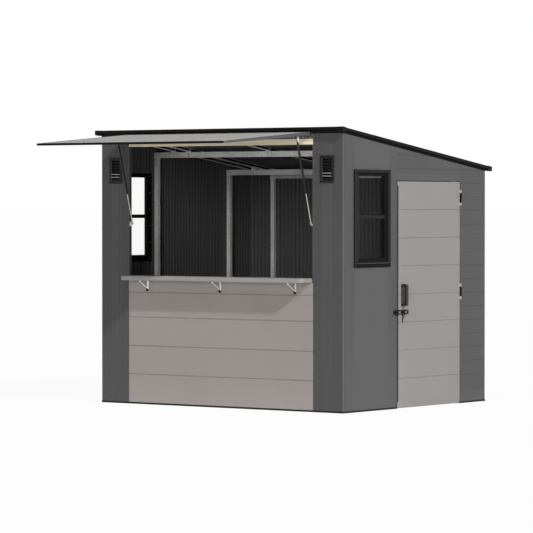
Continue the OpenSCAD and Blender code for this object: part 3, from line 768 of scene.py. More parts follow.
def ring(shape, rect, widths, section, place, skin_of=lambda part, side: 0):
    """A mitred frame: section points are (share of the width, extra inset, height out of the wall)."""
    u0, u1, v0, v1 = rect
    left, right, bottom, top = widths
    verts = []
    for share, extra, w in section:
        a, b = u0 + left * share + extra, u1 - right * share - extra
        c, d = v0 + bottom * share + extra, v1 - top * share - extra
        verts += [place(a, c, w), place(b, c, w), place(b, d, w), place(a, d, w)]
    base, n = len(shape.verts), len(section)
    shape.verts += [tuple(v) for v in verts]
    for i in range(n):
        for k in range(4):
            j, m = (k + 1) % 4, (i + 1) % n
            shape.faces.append([base + c for c in (4 * i + k, 4 * i + j, 4 * m + j, 4 * m + k)])
            shape.skins.append(skin_of(i, k))


def window(name, place):
    shape = Shape()
    face, inside = SIDE, SIDE_IN - 4 * MM
    section = [
        (0, 0, face), (0, 0, face + 11 * MM), (0, 3 * MM, face + 14 * MM), (0.40, 0, face + 14 * MM),
        (0.46, 0, face + 11 * MM), (0.50, 0, face + 5 * MM), (0.92, 0, face + 5 * MM),
        (1, 0, face + 2 * MM),
        (1, 0, face - 30 * MM), (0.9, 0, inside), (0, LAP + 4 * MM, inside),
        (0, LAP + 0.4 * MM, inside + 3 * MM),
        (0, LAP + 0.4 * MM, face),
    ]
    widths = (STILE, STILE, BOTTOM_RAIL, TOP_RAIL)
    # inner parts of the frame and its whole bottom rail take the reveal's black, painted shade
    ring(shape, WIN, widths, section, place,
         lambda part, side: 3 if part >= (6, 4, 4, 6)[side] or side == 0 else 0)
    y0, y1 = WIN[0] + STILE, WIN[1] - STILE
    z0, z1 = WIN[2] + BOTTOM_RAIL, WIN[3] - TOP_RAIL
    middle = (z0 + z1) / 2
    rail = [(middle - MID_RAIL / 2, face - 26 * MM), (middle + MID_RAIL / 2, face - 26 * MM),
            (middle + MID_RAIL / 2, face - 2 * MM), (middle + MID_RAIL / 2 - 5 * MM, face + 3 * MM),
            (middle - MID_RAIL / 2 + 5 * MM, face + 3 * MM), (middle - MID_RAIL / 2, face - 2 * MM)]
    shape.prism(rail, lambda v, w, u: place(u, v, w), y0 - 1 * MM, y1 + 1 * MM)
    # slope below the lower pane in the reveal's black, painted shade, ending in a pale sill lip over a
    # shadow gap
    slope = [(z0 - 40 * MM, face + 4 * MM), (z0 - 40 * MM, face + 12.5 * MM), (z0 + 1 * MM, face - 12 * MM),
             (z0 - 6 * MM, face - 16 * MM)]
    lip = [(z0 - 50 * MM, face + 4 * MM), (z0 - 50 * MM, face + 13.8 * MM),
           (z0 - 40 * MM, face + 13.8 * MM), (z0 - 38 * MM, face + 4 * MM)]
    for outline, skin in ((slope, 3), (lip, 1)):
        shape.prism(outline, lambda v, w, u: place(u, v, w), WIN[0] + 0.5 * STILE, WIN[1] - 0.35 * STILE,
                    skin)
    out = Vector(place(0, 0, 1)) - Vector(place(0, 0, 0))
    for z in [WIN[2] + 40 * MM + k * (WIN[3] - WIN[2] - 80 * MM) / 5 for k in range(6)]:
        for y in (WIN[0] + 46 * MM, WIN[1] - 46 * MM):
            shape.screw(place(y, z, inside), -out, 4.5 * MM, 1.6 * MM, 2)
    piece(shape, name, ["window", "sill", "bolt", "reveal_shade"], edge=0.8 * MM)


def windows():
    window("window_frame_right", on_right)
    window("window_frame_left", on_left)


def vents():
    shape = Shape()
    slats, tilt, thick = 7, math.radians(42), 2.2 * MM
    for s in (-1, 1):
        x0, x1 = (VENT[0], VENT[1]) if s > 0 else (-VENT[1], -VENT[0])
        proud = -FRONT - low("vents", 1)
        section = [
            (0, 0, FRONT), (0, 0, FRONT + proud - 3 * MM), (0, 3 * MM, FRONT + proud),
            (0.75, 0, FRONT + proud),
            (1, 0, FRONT + proud - 4 * MM), (1, 0, FRONT_IN), (0.62, 0, FRONT_IN), (0.62, 0, FRONT),
        ]
        rim = (24 * MM,) * 4
        ring(shape, (x0, x1, VENT[2], VENT[3]), rim, section, on_front)
        a, b = x0 + 23 * MM, x1 - 23 * MM
        z0, pitch = VENT[2] + 24 * MM, (VENT[3] - VENT[2] - 48 * MM) / slats
        for k in range(slats):
            z = z0 + (k + 0.35) * pitch
            run = 20 * MM
            outer = (FRONT + proud - 6 * MM, z - 0.2 * run)
            inner = (outer[0] - run * math.cos(tilt), outer[1] + run * math.sin(tilt))
            nz, ny = thick * math.cos(tilt), thick * math.sin(tilt)
            blade = [(outer[0], outer[1]), (inner[0], inner[1]), (inner[0] + ny, inner[1] + nz),
                     (outer[0] + ny, outer[1] + nz), (outer[0] + ny + 1.6 * MM, outer[1] - 1.2 * MM)]
            shape.prism(blade, lambda w, v, u: (u, -w, v), a, b)
            lip = outer[0] + ny
            # the lips of slats 1 and 2 take the bright steel as a painted glint
            shape.block((a, -lip - 2.6 * MM, outer[1] - 1.5 * MM), (b, -lip + 1 * MM, outer[1] + 1.2 * MM),
                        1 if k in (1, 2) else 0)
        shape.block((x0 + 15 * MM, -FRONT_IN - 4 * MM, VENT[2] + 15 * MM),
                    (x1 - 15 * MM, -FRONT_IN - 1 * MM, VENT[3] - 15 * MM))
        for x in (x0 + 9 * MM, x1 - 9 * MM):
            for z in (VENT[2] + 10 * MM, VENT[3] - 10 * MM):
                shape.screw((x, -FRONT - proud, z), (0, -1, 0), 3 * MM, 1 * MM)
    piece(shape, "vents", ["vent", "steel"], edge=0.5 * MM)


# ---------------------------------------------------------------- counter
def counter():
    """A thick shelf with rounded outer corners and a rounded nose."""
    shape = Shape()
    out, back, end = -low("counter", 1), high("counter", 1), high("counter", 0)
    corner = 32 * MM
    outline = [(end, back), (-end, back)]
    for start, side in ((180, -1), (270, 1)):
        for k in range(9):
            turn = math.radians(start + 90 * k / 8)
            outline.append((side * (end - corner) + corner * math.cos(turn),
                            -out + corner + corner * math.sin(turn)))
    shape.prism(outline, lambda x, y, z: (x, y, z), SILL, COUNTER_TOP)
    piece(shape, "counter", ["counter"], edge=10 * MM, rounds=4, sharp=40)


BRACKET_X = 745 * MM


def counter_brackets():
    """Folding brackets: a leg on the wall, an arm under the counter, a brace and a knob."""
    shape = Shape()
    leg_h, arm, shift, half = 74 * MM, 116 * MM, 16 * MM, 7 * MM
    for x in (-BRACKET_X + shift, shift, BRACKET_X + shift):
        y, z = -FRONT, SILL
        shape.block((x - half, y - 5 * MM, z - leg_h), (x + half, y, z))
        shape.block((x - half, y - arm, z - 3 * MM), (x + half, y, z))
        shape.block((x - half, y - 12 * MM, z - 14 * MM), (x - half + 2 * MM, y - 4 * MM, z - 2 * MM))
        shape.rod((x, y - 9 * MM, z - leg_h + 10 * MM), (x, y - arm + 10 * MM, z - 6 * MM), 4 * MM)
        shape.rod((x - half - 2 * MM, y - arm + 10 * MM, z - 7 * MM),
                  (x + half + 2 * MM, y - arm + 10 * MM, z - 7 * MM), 3.5 * MM)
        shape.lathe((x, y - 1 * MM, z - leg_h - 4 * MM), (0, -1, 0), [
            (0, 5 * MM), (6 * MM, 5 * MM), (8 * MM, 10 * MM), (15 * MM, 11 * MM), (19 * MM, 8 * MM),
            (20 * MM, 0)], 1)
        for dz in (20 * MM, 40 * MM):
            shape.screw((x, y - 5 * MM, z - dz), (0, -1, 0), 3 * MM, 1.4 * MM, 2)
    piece(shape, "counter_brackets", ["plate", "black_metal", "bolt"], edge=0.8 * MM)


# ---------------------------------------------------------------- steel frame
def tube(shape, lo, hi, axis, wall=2 * MM, skin=0):
    """A square steel tube with open ends, its corners rounded by the edge softening."""
    a, b = [k for k in range(3) if k != axis]
    outer = [(lo[a], lo[b]), (hi[a], lo[b]), (hi[a], hi[b]), (lo[a], hi[b])]
    inner = [(lo[a] + wall, lo[b] + wall), (hi[a] - wall, lo[b] + wall), (hi[a] - wall, hi[b] - wall),
             (lo[a] + wall, hi[b] - wall)]

    def at(point, t):
        place = [0.0, 0.0, 0.0]
        place[a], place[b], place[axis] = point[0], point[1], t
        return tuple(place)

    verts = [at(p, t) for t in (lo[axis], hi[axis]) for loop in (outer, inner) for p in loop]
    faces = []
    for k in range(4):
        j = (k + 1) % 4
        faces += [(k, j, 8 + j, 8 + k), (4 + k, 12 + k, 12 + j, 4 + j), (k, 4 + k, 4 + j, j),
                  (8 + k, 8 + j, 12 + j, 12 + k)]
    shape.add(verts, faces, skin)


POST = 35 * MM
BEAM = 46 * MM
BEAM_DROP = 26 * MM
BEAM_PLATES = ((-982, -823, 0, 823, 982), (-900, 0, 900))
END_PLATE = 26 * MM
RAFTERS = (-980, -820, 0, 820, 980)
DECK = high("floor_middle", 2)
POST_ROWS = [low("side_posts", 1), high("side_posts", 1) - POST]
BACK_POST_X = high("back_posts", 0) - POST


def posts():
    shape = Shape()
    for y in POST_ROWS:
        top = roof_under(y + POST) - BEAM_DROP - BEAM
        for s in (-1, 1):
            x0, x1 = sorted((s * SIDE_IN, s * (SIDE_IN - POST)))
            tube(shape, (x0, y, DECK), (x1, y + POST, top), 2)
            shape.block((x0, y - 2.5 * MM, DECK), (x1, y, DECK + 60 * MM))
            middle = (x0 + x1) / 2
            for z in (top - 14 * MM, top - 60 * MM, DECK + 30 * MM):
                shape.bolt((middle, y, z), (0, -1, 0), 5 * MM, 4 * MM, 1)
            for z in spaced(DECK + 0.2, top - 0.2, 0.42):
                shape.screw((middle, y, z), (0, -1, 0), 4.5 * MM, 2 * MM, 1)
                shape.screw((x0 if s > 0 else x1, y + POST / 2, z), (-s, 0, 0), 4.5 * MM, 2 * MM, 1)
    piece(shape, "side_posts", ["steel", "bolt", "plate"], edge=2 * MM, rounds=3)
    shape = Shape()
    for s in (-1, 1):
        x0, x1 = sorted((s * BACK_POST_X, s * (BACK_POST_X + POST)))
        top = high("back_posts", 2)
        tube(shape, (x0, BACK_IN - POST, DECK), (x1, BACK_IN, top), 2)
        shape.block((x0 - 3 * MM, BACK_IN - POST - 2 * MM, top - 6 * MM),
                    (x1 + 3 * MM, BACK_IN - POST + 2 * MM, top + 26 * MM), 2)
        for z in [top - 16 * MM] + spaced(DECK + 0.1, top - 0.1, 0.3):
            shape.screw(((x0 + x1) / 2, BACK_IN - POST, z), (0, -1, 0), 4.5 * MM, 2 * MM, 1)
    piece(shape, "back_posts", ["steel", "bolt", "plate"], edge=2 * MM, rounds=3)


def beams():
    shape = Shape()
    for row, y in enumerate(POST_ROWS):
        top = roof_under(y + POST) - BEAM_DROP
        tube(shape, (-SIDE_IN, y, top - BEAM), (SIDE_IN, y + POST, top), 0)
        for x in BEAM_PLATES[row]:
            centre = x * MM
            shape.block((centre - 20 * MM, y - 3 * MM, top - 43 * MM),
                        (centre + 20 * MM, y + 1 * MM, top + 22 * MM), 2)
            for dz in (12 * MM, 33 * MM):
                shape.bolt((centre, y - 3 * MM, top - dz), (0, -1, 0), 4.5 * MM, 3.5 * MM, 1)
        for s in (-1, 1):
            end = s * (SIDE_IN - END_PLATE)
            shape.block((end - END_PLATE, y - 3 * MM, top - BEAM - 1 * MM),
                        (end + END_PLATE, y + 1 * MM, top - 2 * MM), 2)
            for dx in (-14, 14):
                shape.bolt((end + dx * MM, y - 3 * MM, top - 23 * MM), (0, -1, 0), 4.5 * MM, 3.5 * MM, 1)
    z1 = roof_under(BACK_IN) - 26 * MM
    tube(shape, (-BACK_POST_X - POST, BACK_IN - POST, z1 - 30 * MM), (BACK_POST_X + POST, BACK_IN, z1), 0)
    piece(shape, "cross_beams", ["steel", "bolt", "plate"], edge=2 * MM, rounds=3)


def rafters():
    """Pressed channels under the roof panels: bright flanges with a web between them painted black as
    shade.
    """
    shape = Shape()
    half, deep, seat, lip, inset = 18 * MM, 26 * MM, 0.02 * MM, 4 * MM, 5 * MM
    for x in RAFTERS:
        centre = x * MM
        for a, low_h, high_h, skin in ((half, -deep, -deep + lip, 0), (half - inset, -deep + lip, -lip, 1),
                                       (half, -lip, -seat, 0)):
            outline = [(-a, low_h), (a, low_h), (a, high_h), (-a, high_h)]
            shape.prism(outline, lambda o, h, y: on_roof(centre + o, y, h), -FRONT_IN, BACK_IN, skin)
    piece(shape, "rafters", ["steel", "shade_black"], edge=0.6 * MM)


# ---------------------------------------------------------------- door
DOOR_FACE = high("hasp_strap", 0) - 10 * MM
DOOR_T = 40 * MM
HINGE_R, PIN_R, HINGE_L, KNUCKLE_L = 8 * MM, 4 * MM, 128 * MM, 24 * MM
HINGES = (918 * MM, 1683 * MM)
DOOR_FRONT = DOORWAY[0] + 6 * MM
DOOR_BACK = DOORWAY[1] - 6 * MM
DOOR_TOP = DOORWAY_TOP - 6 * MM
DOOR_FOOT = 5 * MM
DOOR_TABS = ((5, 54), (1779, 1813))
HASP_Z = 770 * MM
AXIS_X = DOOR_FACE + 2 * MM
AXIS_Y = DOOR_BACK + HINGE_R + 3 * MM


def door():
    shape = Shape()
    edge_u = rounding(DOOR_FRONT, 5 * MM, 1) + rounding(DOOR_BACK, 5 * MM, -1)
    edge_v = rounding(DOOR_FOOT, 4 * MM, 1) + rounding(DOOR_TOP, 4 * MM, -1)
    stile = 95 * MM
    inset = [(DOOR_FRONT + stile, 0), (DOOR_FRONT + stile + 8 * MM, 5 * MM),
             (DOOR_BACK - stile - 8 * MM, 5 * MM),
             (DOOR_BACK - stile, 0)]
    panel(shape, on_right, (DOOR_FRONT, DOOR_BACK), (DOOR_FOOT, DOOR_TOP), DOOR_FACE, DOOR_FACE - DOOR_T,
          face_u=edge_u, face_v=grooves(DOOR_LINES, 5 * MM, 4 * MM, board_groove) + edge_v,
          back_u=inset, back_v=grooves(DOOR_LINES, 5.5 * MM, 4 * MM), skins=(0, 0, 0))
    # moulded tabs that lap over the frame on the closing side
    for z0, z1 in DOOR_TABS:
        shape.block((DOOR_FACE - 9 * MM, DOOR_FRONT - 11 * MM, z0 * MM),
                    (DOOR_FACE + 0.5 * MM, DOOR_FRONT + 6 * MM, z1 * MM))
    # dark strips on the upright edges: painted shade on the door's edge faces
    for y in (DOOR_FRONT - 0.4 * MM, DOOR_BACK - 2.6 * MM):
        shape.block((DOOR_FACE - DOOR_T + 2 * MM, y, DOOR_FOOT + 2 * MM),
                    (DOOR_FACE - 3 * MM, y + 3 * MM, DOOR_TOP - 2 * MM), 1)
    for z in HINGES:
        for s in (-1, 1):
            middle = z + s * (HINGE_L - KNUCKLE_L) / 2
            start = (AXIS_X, AXIS_Y, middle - KNUCKLE_L / 2)
            knuckle(shape, start, KNUCKLE_L)
            root = [(DOOR_BACK - 22 * MM, DOOR_FACE - 8 * MM), (AXIS_Y - 5 * MM, AXIS_X - HINGE_R + 1 * MM),
                    (AXIS_Y - 5 * MM, AXIS_X + HINGE_R - 1.5 * MM),
                    (DOOR_BACK - 6 * MM, AXIS_X + HINGE_R - 2 * MM),
                    (DOOR_BACK - 22 * MM, DOOR_FACE + 0.5 * MM)]
            shape.prism(root, lambda u, w, v: (w, u, v), middle - KNUCKLE_L / 2, middle + KNUCKLE_L / 2)
    piece(shape, "door_panel", ["greige_door", "dark_front_shade"], "door", sharp=25)


def hollow(shape, profile, place):
    """A turned ring with a through hole; profile points are (distance along, radius)."""
    sides = 28
    verts, faces = [], []
    for along, radius in profile:
        for k in range(sides):
            turn = 2 * math.pi * k / sides
            verts.append(place(along, radius * math.cos(turn), radius * math.sin(turn)))
    n = len(profile)
    for i in range(n):
        m = (i + 1) % n
        for k in range(sides):
            j = (k + 1) % sides
            faces.append((i * sides + k, i * sides + j, m * sides + j, m * sides + k))
    shape.add(verts, faces)


def knuckle(shape, start, length):
    """A hollow hinge knuckle round the pin."""
    gap, soft = 0.3 * MM, 1.5 * MM
    inner = PIN_R + gap
    profile = [(0, inner), (0, HINGE_R - soft), (soft, HINGE_R), (length - soft, HINGE_R),
               (length, HINGE_R - soft), (length, inner)]
    hollow(shape, profile, lambda along, a, b: Vector(start) + Vector((a, b, along)))


def door_hinges():
    shape = Shape()
    barrel = HINGE_L - 2 * KNUCKLE_L - 2 * MM
    for z in HINGES:
        shape.lathe((AXIS_X, AXIS_Y, z - barrel / 2), (0, 0, 1), [
            (0, HINGE_R - 1.5 * MM), (1.5 * MM, HINGE_R), (barrel - 1.5 * MM, HINGE_R),
            (barrel, HINGE_R - 1.5 * MM)], 0, 28)
        shape.lathe((AXIS_X, AXIS_Y, z - HINGE_L / 2 - 0.5 * MM), (0, 0, 1), [
            (0, PIN_R * 0.7), (1 * MM, PIN_R), (HINGE_L, PIN_R), (HINGE_L + 0.8 * MM, PIN_R * 0.7)], 1)
        shape.block((SIDE, AXIS_Y - 2 * MM, z - barrel / 2 + 1 * MM),
                    (AXIS_X, AXIS_Y + 2 * MM, z + barrel / 2 - 1 * MM))
        shape.block((SIDE - 0.5 * MM, AXIS_Y - 2 * MM, z - barrel / 2 + 1 * MM),
                    (SIDE + 3 * MM, AXIS_Y + 30 * MM, z + barrel / 2 - 1 * MM))
        for dz in (-20, 0, 20):
            shape.screw((SIDE + 3 * MM, AXIS_Y + 20 * MM, z + dz * MM), (1, 0, 0), 3.5 * MM, 1.2 * MM, 1)
    piece(shape, "door_hinges", ["black_metal", "bolt"], edge=0.6 * MM)


def handle():
    """A D-shaped pull on a base plate."""
    shape = Shape()
    lo, hi = BOX["door_handle"]
    y0, z0, z1 = lo[1], lo[2], hi[2]
    out, plate, grip_w, grip_t, foot = hi[0] - DOOR_FACE, 4 * MM, 30 * MM, 18 * MM, 20 * MM
    soft = 12 * MM
    shape.block((DOOR_FACE, y0, z0), (DOOR_FACE + plate, hi[1], z1))
    x = DOOR_FACE
    outer = [(x + plate - 1 * MM, z0 + 1 * MM), (x + out - soft, z0 + 1 * MM),
             (x + out - soft * 0.3, z0 + soft * 0.3 + 1 * MM), (x + out, z0 + soft + 1 * MM)]
    outer += [(a, z0 + z1 - b) for a, b in reversed(outer)]
    gap = [(x + plate - 1 * MM, z1 - foot), (x + out - grip_t - 5 * MM, z1 - foot),
           (x + out - grip_t, z1 - foot - 5 * MM),
           (x + out - grip_t, z0 + foot + 5 * MM), (x + out - grip_t - 5 * MM, z0 + foot),
           (x + plate - 1 * MM, z0 + foot)]
    shape.prism(outer + gap, lambda a, b, t: (a, t, b), y0 + 1.5 * MM, y0 + grip_w)
    for z in (z0 + 8 * MM, (z0 + z1) / 2, z1 - 8 * MM):
        shape.screw((DOOR_FACE + plate, hi[1] - 6 * MM, z), (1, 0, 0), 2.6 * MM, 1 * MM, 1)
    piece(shape, "door_handle", ["handle", "bolt"], "door", edge=2.4 * MM, rounds=3)


def slotted_strap(shape, x0, x1, y0, y1, z0, z1, slots):
    """A flat strap with rectangular slots, cut as a grid of cells."""
    panel(shape, lambda u, v, w: (w, u, v), (y0, y1), (z0, z1), x1, x0, holes=slots, skins=(0, 0, 0))


def hasp():
    lo, hi = BOX["hasp_strap"]
    z, half = HASP_Z, 19 * MM
    y0, y1 = lo[1], hi[1]
    staple_y = (low("hasp_staple", 1) + high("hasp_staple", 1)) / 2 + 2.5 * MM
    shape = Shape()
    slots = [(staple_y - 18 * MM, staple_y + 18 * MM, z - 8.5 * MM, z + 8.5 * MM),
             (DOOR_FRONT - 2 * MM, DOOR_FRONT + 26 * MM, z - 8 * MM, z + 8 * MM),
             (y1 - 44 * MM, y1 - 20 * MM, z - 8 * MM, z + 8 * MM)]
    slotted_strap(shape, DOOR_FACE, DOOR_FACE + 3 * MM, y0, y1, z - half, z + half, slots)
    pin_y = DOOR_FRONT + 46 * MM
    shape.rod((DOOR_FACE + 6 * MM, pin_y, z - 79 * MM), (DOOR_FACE + 6 * MM, pin_y, z + 4 * MM), 3.6 * MM)
    shape.block((DOOR_FACE + 3 * MM, pin_y - 8 * MM, z - 4 * MM),
                (DOOR_FACE + 9.5 * MM, pin_y + 8 * MM, z + 9 * MM))
    shape.block((DOOR_FACE + 3 * MM, pin_y - 6 * MM, z - half - 4 * MM),
                (DOOR_FACE + 9.5 * MM, pin_y + 6 * MM, z - half + 5 * MM))
    # hanging ring and its short link
    ring_at = Vector((DOOR_FACE + 4.5 * MM, DOOR_FRONT + 72 * MM, z - 35 * MM))
    loop = [ring_at + Vector((0, 9 * MM * math.cos(a),
                              9 * MM * math.sin(a))) for a in [2 * math.pi * k / 24 for k in range(24)]]
    shape.sweep(loop, 1.5 * MM, 0, 8, True)
    shape.rod(ring_at + Vector((0, 0, 9 * MM)), ring_at + Vector((0, 0, 20 * MM)), 2 * MM)
    for y in (DOOR_FRONT + 34 * MM, y1 - 10 * MM):
        for dz in (-12, 12):
            shape.screw((DOOR_FACE + 3 * MM, y, z + dz * MM), (1, 0, 0), 3 * MM, 1.2 * MM, 1)
    piece(shape, "hasp_strap", ["black_metal", "bolt"], "door", edge=0.7 * MM)
    shape = Shape()
    out = high("hasp_staple", 0)
    a, b = low("hasp_staple", 1), high("hasp_staple", 1)
    shape.block((SIDE, a, z - 16 * MM), (SIDE + 3 * MM, b, z + 16 * MM))
    arch = [(SIDE + 1 * MM, staple_y - 9.5 * MM), (out - 9 * MM, staple_y - 9.5 * MM)]
    arch += [(out - 11.5 * MM + 9 * MM * math.sin(t),
              staple_y - 9.5 * MM * math.cos(t)) for t in [math.pi * k / 10 for k in range(1, 10)]]
    arch += [(out - 9 * MM, staple_y + 9.5 * MM), (SIDE + 1 * MM, staple_y + 9.5 * MM)]
    shape.sweep([(x, y, z) for x, y in arch], 2.4 * MM, 0, 12)
    for y in (a + 5 * MM, b - 5 * MM):
        for dz in (-10, 10):
            shape.screw((SIDE + 3 * MM, y, z + dz * MM), (1, 0, 0), 3 * MM, 1.2 * MM, 1)
    piece(shape, "hasp_staple", ["black_metal", "bolt"], edge=0.6 * MM)


# ---------------------------------------------------------------- flap and struts
SLOPE = math.radians(4.5)
FLAP_AXIS = Vector((0.0, -FRONT - 26 * MM, high("front_header", 2) - 1 * MM))
FLAP_FRAME = Matrix.Translation(FLAP_AXIS) @ Matrix.Rotation(SLOPE, 4, "X")
FLAP_L, FLAP_END, FLAP_BAR = 1129 * MM, 12 * MM, 24 * MM
FLAP_FACE, FLAP_T, FLAP_FREE_T = 15 * MM, 31 * MM, 18 * MM
KNUCKLE_R, SIDE_KNUCKLE = 7 * MM, 26 * MM


def on_flap(u, v, w):
    return FLAP_FRAME @ Vector((u, -v, w))


def flap_under(v):
    """Height of the flap's underside: the frame thins towards the free edge."""
    return FLAP_FACE - FLAP_T + (FLAP_T - FLAP_FREE_T) * (v - FLAP_END) / (FLAP_L - FLAP_END)


def on_flap_bar(u, v, share):
    """A place on the frame bars, by share of their thickness."""
    return on_flap(u, v, flap_under(v) + share * (FLAP_FACE - flap_under(v)))


def flap():
    shape = Shape()
    a, b = FLAP_END + FLAP_BAR, FLAP_L - FLAP_BAR
    span = BAY - FLAP_BAR
    lines = [a + (b - a) * k / 5 for k in range(1, 5)]
    skin = FLAP_FACE - 2 * MM
    panel(shape, on_flap, (-span, span), (a, b), skin, skin - 12 * MM,
          face_v=grooves(lines, 5.5 * MM, 3 * MM), back_v=grooves(lines, 5 * MM, 3 * MM),
          back_u=[(x + d * MM, c * MM) for x in spaced(-span, span, 0.6) for d,
                  c in ((-26, 0), (-22, 3), (22, 3), (26, 0))],
          skins=(0, 0, 0))
    piece(shape, "flap_panel", ["greige_flap_sheen"], "flap", sharp=25)
    shape = Shape()
    section = [
        (0, 2 * MM, 0), (0, 0, 0.08), (0, 0, 0.62), (0, 1.5 * MM, 0.68), (0, 1.5 * MM, 0.74), (0, 0, 0.80),
        (0, 0, 0.92), (0, 2 * MM, 1), (1, -3 * MM, 1), (1, 0, 0.86), (1, 0, 0.10), (1, -2 * MM, 0),
    ]
    ring(shape, (-BAY, BAY, FLAP_END, FLAP_L), (FLAP_BAR,) * 4, section, on_flap_bar,
         lambda part, side: 1 if side == 2 else 0)
    for s in (-1, 1):
        shape.lathe(on_flap_bar(s * (BAY - 1.0 * MM), FLAP_L - 16 * MM, 0.42), Vector((s, 0, 0)), [
            (-1 * MM, 6 * MM), (0.2 * MM, 6 * MM), (0.9 * MM, 4 * MM), (1.0 * MM, 0)], 2)
    piece(shape, "flap_frame", ["flap_frame", "trim", "white_cap"], "flap", edge=0.6 * MM)


def flap_hinges():
    shape = Shape()
    y, z = FLAP_AXIS[1], FLAP_AXIS[2]
    for x in HINGE_XS:
        shape.block((x - 90 * MM, -FRONT - 5 * MM, z + 2 * MM - 42 * MM), (x + 90 * MM, -FRONT, z + 2 * MM),
                    3)
        for s in (-1, 1):
            c = x + s * (SIDE_KNUCKLE + 1 * MM)
            shape.rod((c - SIDE_KNUCKLE / 2, y, z), (c + SIDE_KNUCKLE / 2, y, z), KNUCKLE_R, 0, 24, 0.15)
            shape.block((c - SIDE_KNUCKLE / 2 + 0.5 * MM, y, z - 4 * MM),
                        (c + SIDE_KNUCKLE / 2 - 0.5 * MM, -FRONT - 1 * MM, z + 2 * MM))
        shape.rod((x - 39 * MM, y, z), (x + 39 * MM, y, z), 3 * MM, 1, 16)
        for dx in (-74, -48, 48, 74):
            for dz in (-12, -28):
                shape.screw((x + dx * MM, -FRONT - 5 * MM, z + dz * MM), (0, -1, 0), 5.5 * MM, 2.4 * MM,
                            1 if (dx + dz) % 4 else 2)
    piece(shape, "flap_hinges", ["steel", "bolt", "white_cap", "flap_frame"],
          edge=0.6 * MM)


STRUT_X = BAY - JAMB_LIP - 23 * MM
REACH, DROP = 150 * MM, 46 * MM
HEAD = FLAP_FRAME @ Vector((0, -REACH, -DROP))
FOOT = Vector((0, -FRONT + 15 * MM, 1470 * MM))
STRUT_L = (FOOT - HEAD).length
STRUT_AXIS = (FOOT - HEAD).normalized()
EYE_R, EYE_W, STUD_R = 8 * MM, 8 * MM, 3 * MM
CYLINDER_L, CYLINDER_R, ROD_R = 430 * MM, 9 * MM, 4 * MM


def flap_fittings():
    shape = Shape()
    for x in HINGE_XS:
        start, end = (FLAP_FRAME @ Vector((x + s * SIDE_KNUCKLE / 2, 0, 0)) for s in (-1, 1))
        shape.rod(start, end, KNUCKLE_R, 0, 24, 0.15)
        shape.block((x - SIDE_KNUCKLE / 2 + 0.5 * MM, -FLAP_END - 1 * MM, -KNUCKLE_R + 0.5 * MM),
                    (x + SIDE_KNUCKLE / 2 - 0.5 * MM, -3 * MM, KNUCKLE_R - 0.5 * MM), 0, FLAP_FRAME)
    for s in (-1, 1):
        plate = s * (STRUT_X + EYE_W / 2 + 4 * MM)
        a, b = sorted((plate, plate + s * 3 * MM))
        outline = [(-REACH - 12 * MM, flap_under(REACH)), (-REACH - 12 * MM, -DROP + 2 * MM),
                   (-REACH - 5 * MM, -DROP - EYE_R),
                   (-REACH + 5 * MM, -DROP - EYE_R), (-REACH + 12 * MM, -DROP + 2 * MM),
                   (-REACH + 12 * MM, flap_under(REACH))]
        shape.prism(outline, lambda p, q, t: FLAP_FRAME @ Vector((t, p, q)), a, b)
        shape.rod(FLAP_FRAME @ Vector((plate, -REACH, -DROP)),
                  FLAP_FRAME @ Vector((s * (STRUT_X - EYE_W / 2 - 2 * MM), -REACH, -DROP)), STUD_R, 1, 16)
        shape.lathe(FLAP_FRAME @ Vector((s * (STRUT_X - EYE_W / 2 - 0.6 * MM), -REACH, -DROP)), (-s, 0, 0),
                    [
            (0, 4.2 * MM), (1.2 * MM, 4.8 * MM), (3 * MM, 4 * MM), (4 * MM, 2.4 * MM), (4.3 * MM, 0)], 1)
    piece(shape, "flap_fittings", ["steel", "white_cap"], "flap", edge=0.5 * MM)


def strut_feet():
    shape = Shape()
    for s in (-1, 1):
        wall = s * (BAY - JAMB_LIP)
        a, b = sorted((wall, wall - s * 3 * MM))
        y, z = FOOT[1], FOOT[2]
        shape.block((a, y - 12 * MM, z - 20 * MM), (b, y + 12 * MM, z + 20 * MM))
        shape.rod((wall - s * 2 * MM, y, z), (s * (STRUT_X + EYE_W / 2 + 4 * MM), y, z), 5 * MM)
        for dz in (-14, 14):
            shape.screw((wall - s * 3 * MM, y, z + dz * MM), (-s, 0, 0), 3.2 * MM, 1.4 * MM)
    piece(shape, "strut_feet", ["steel"], edge=0.7 * MM)


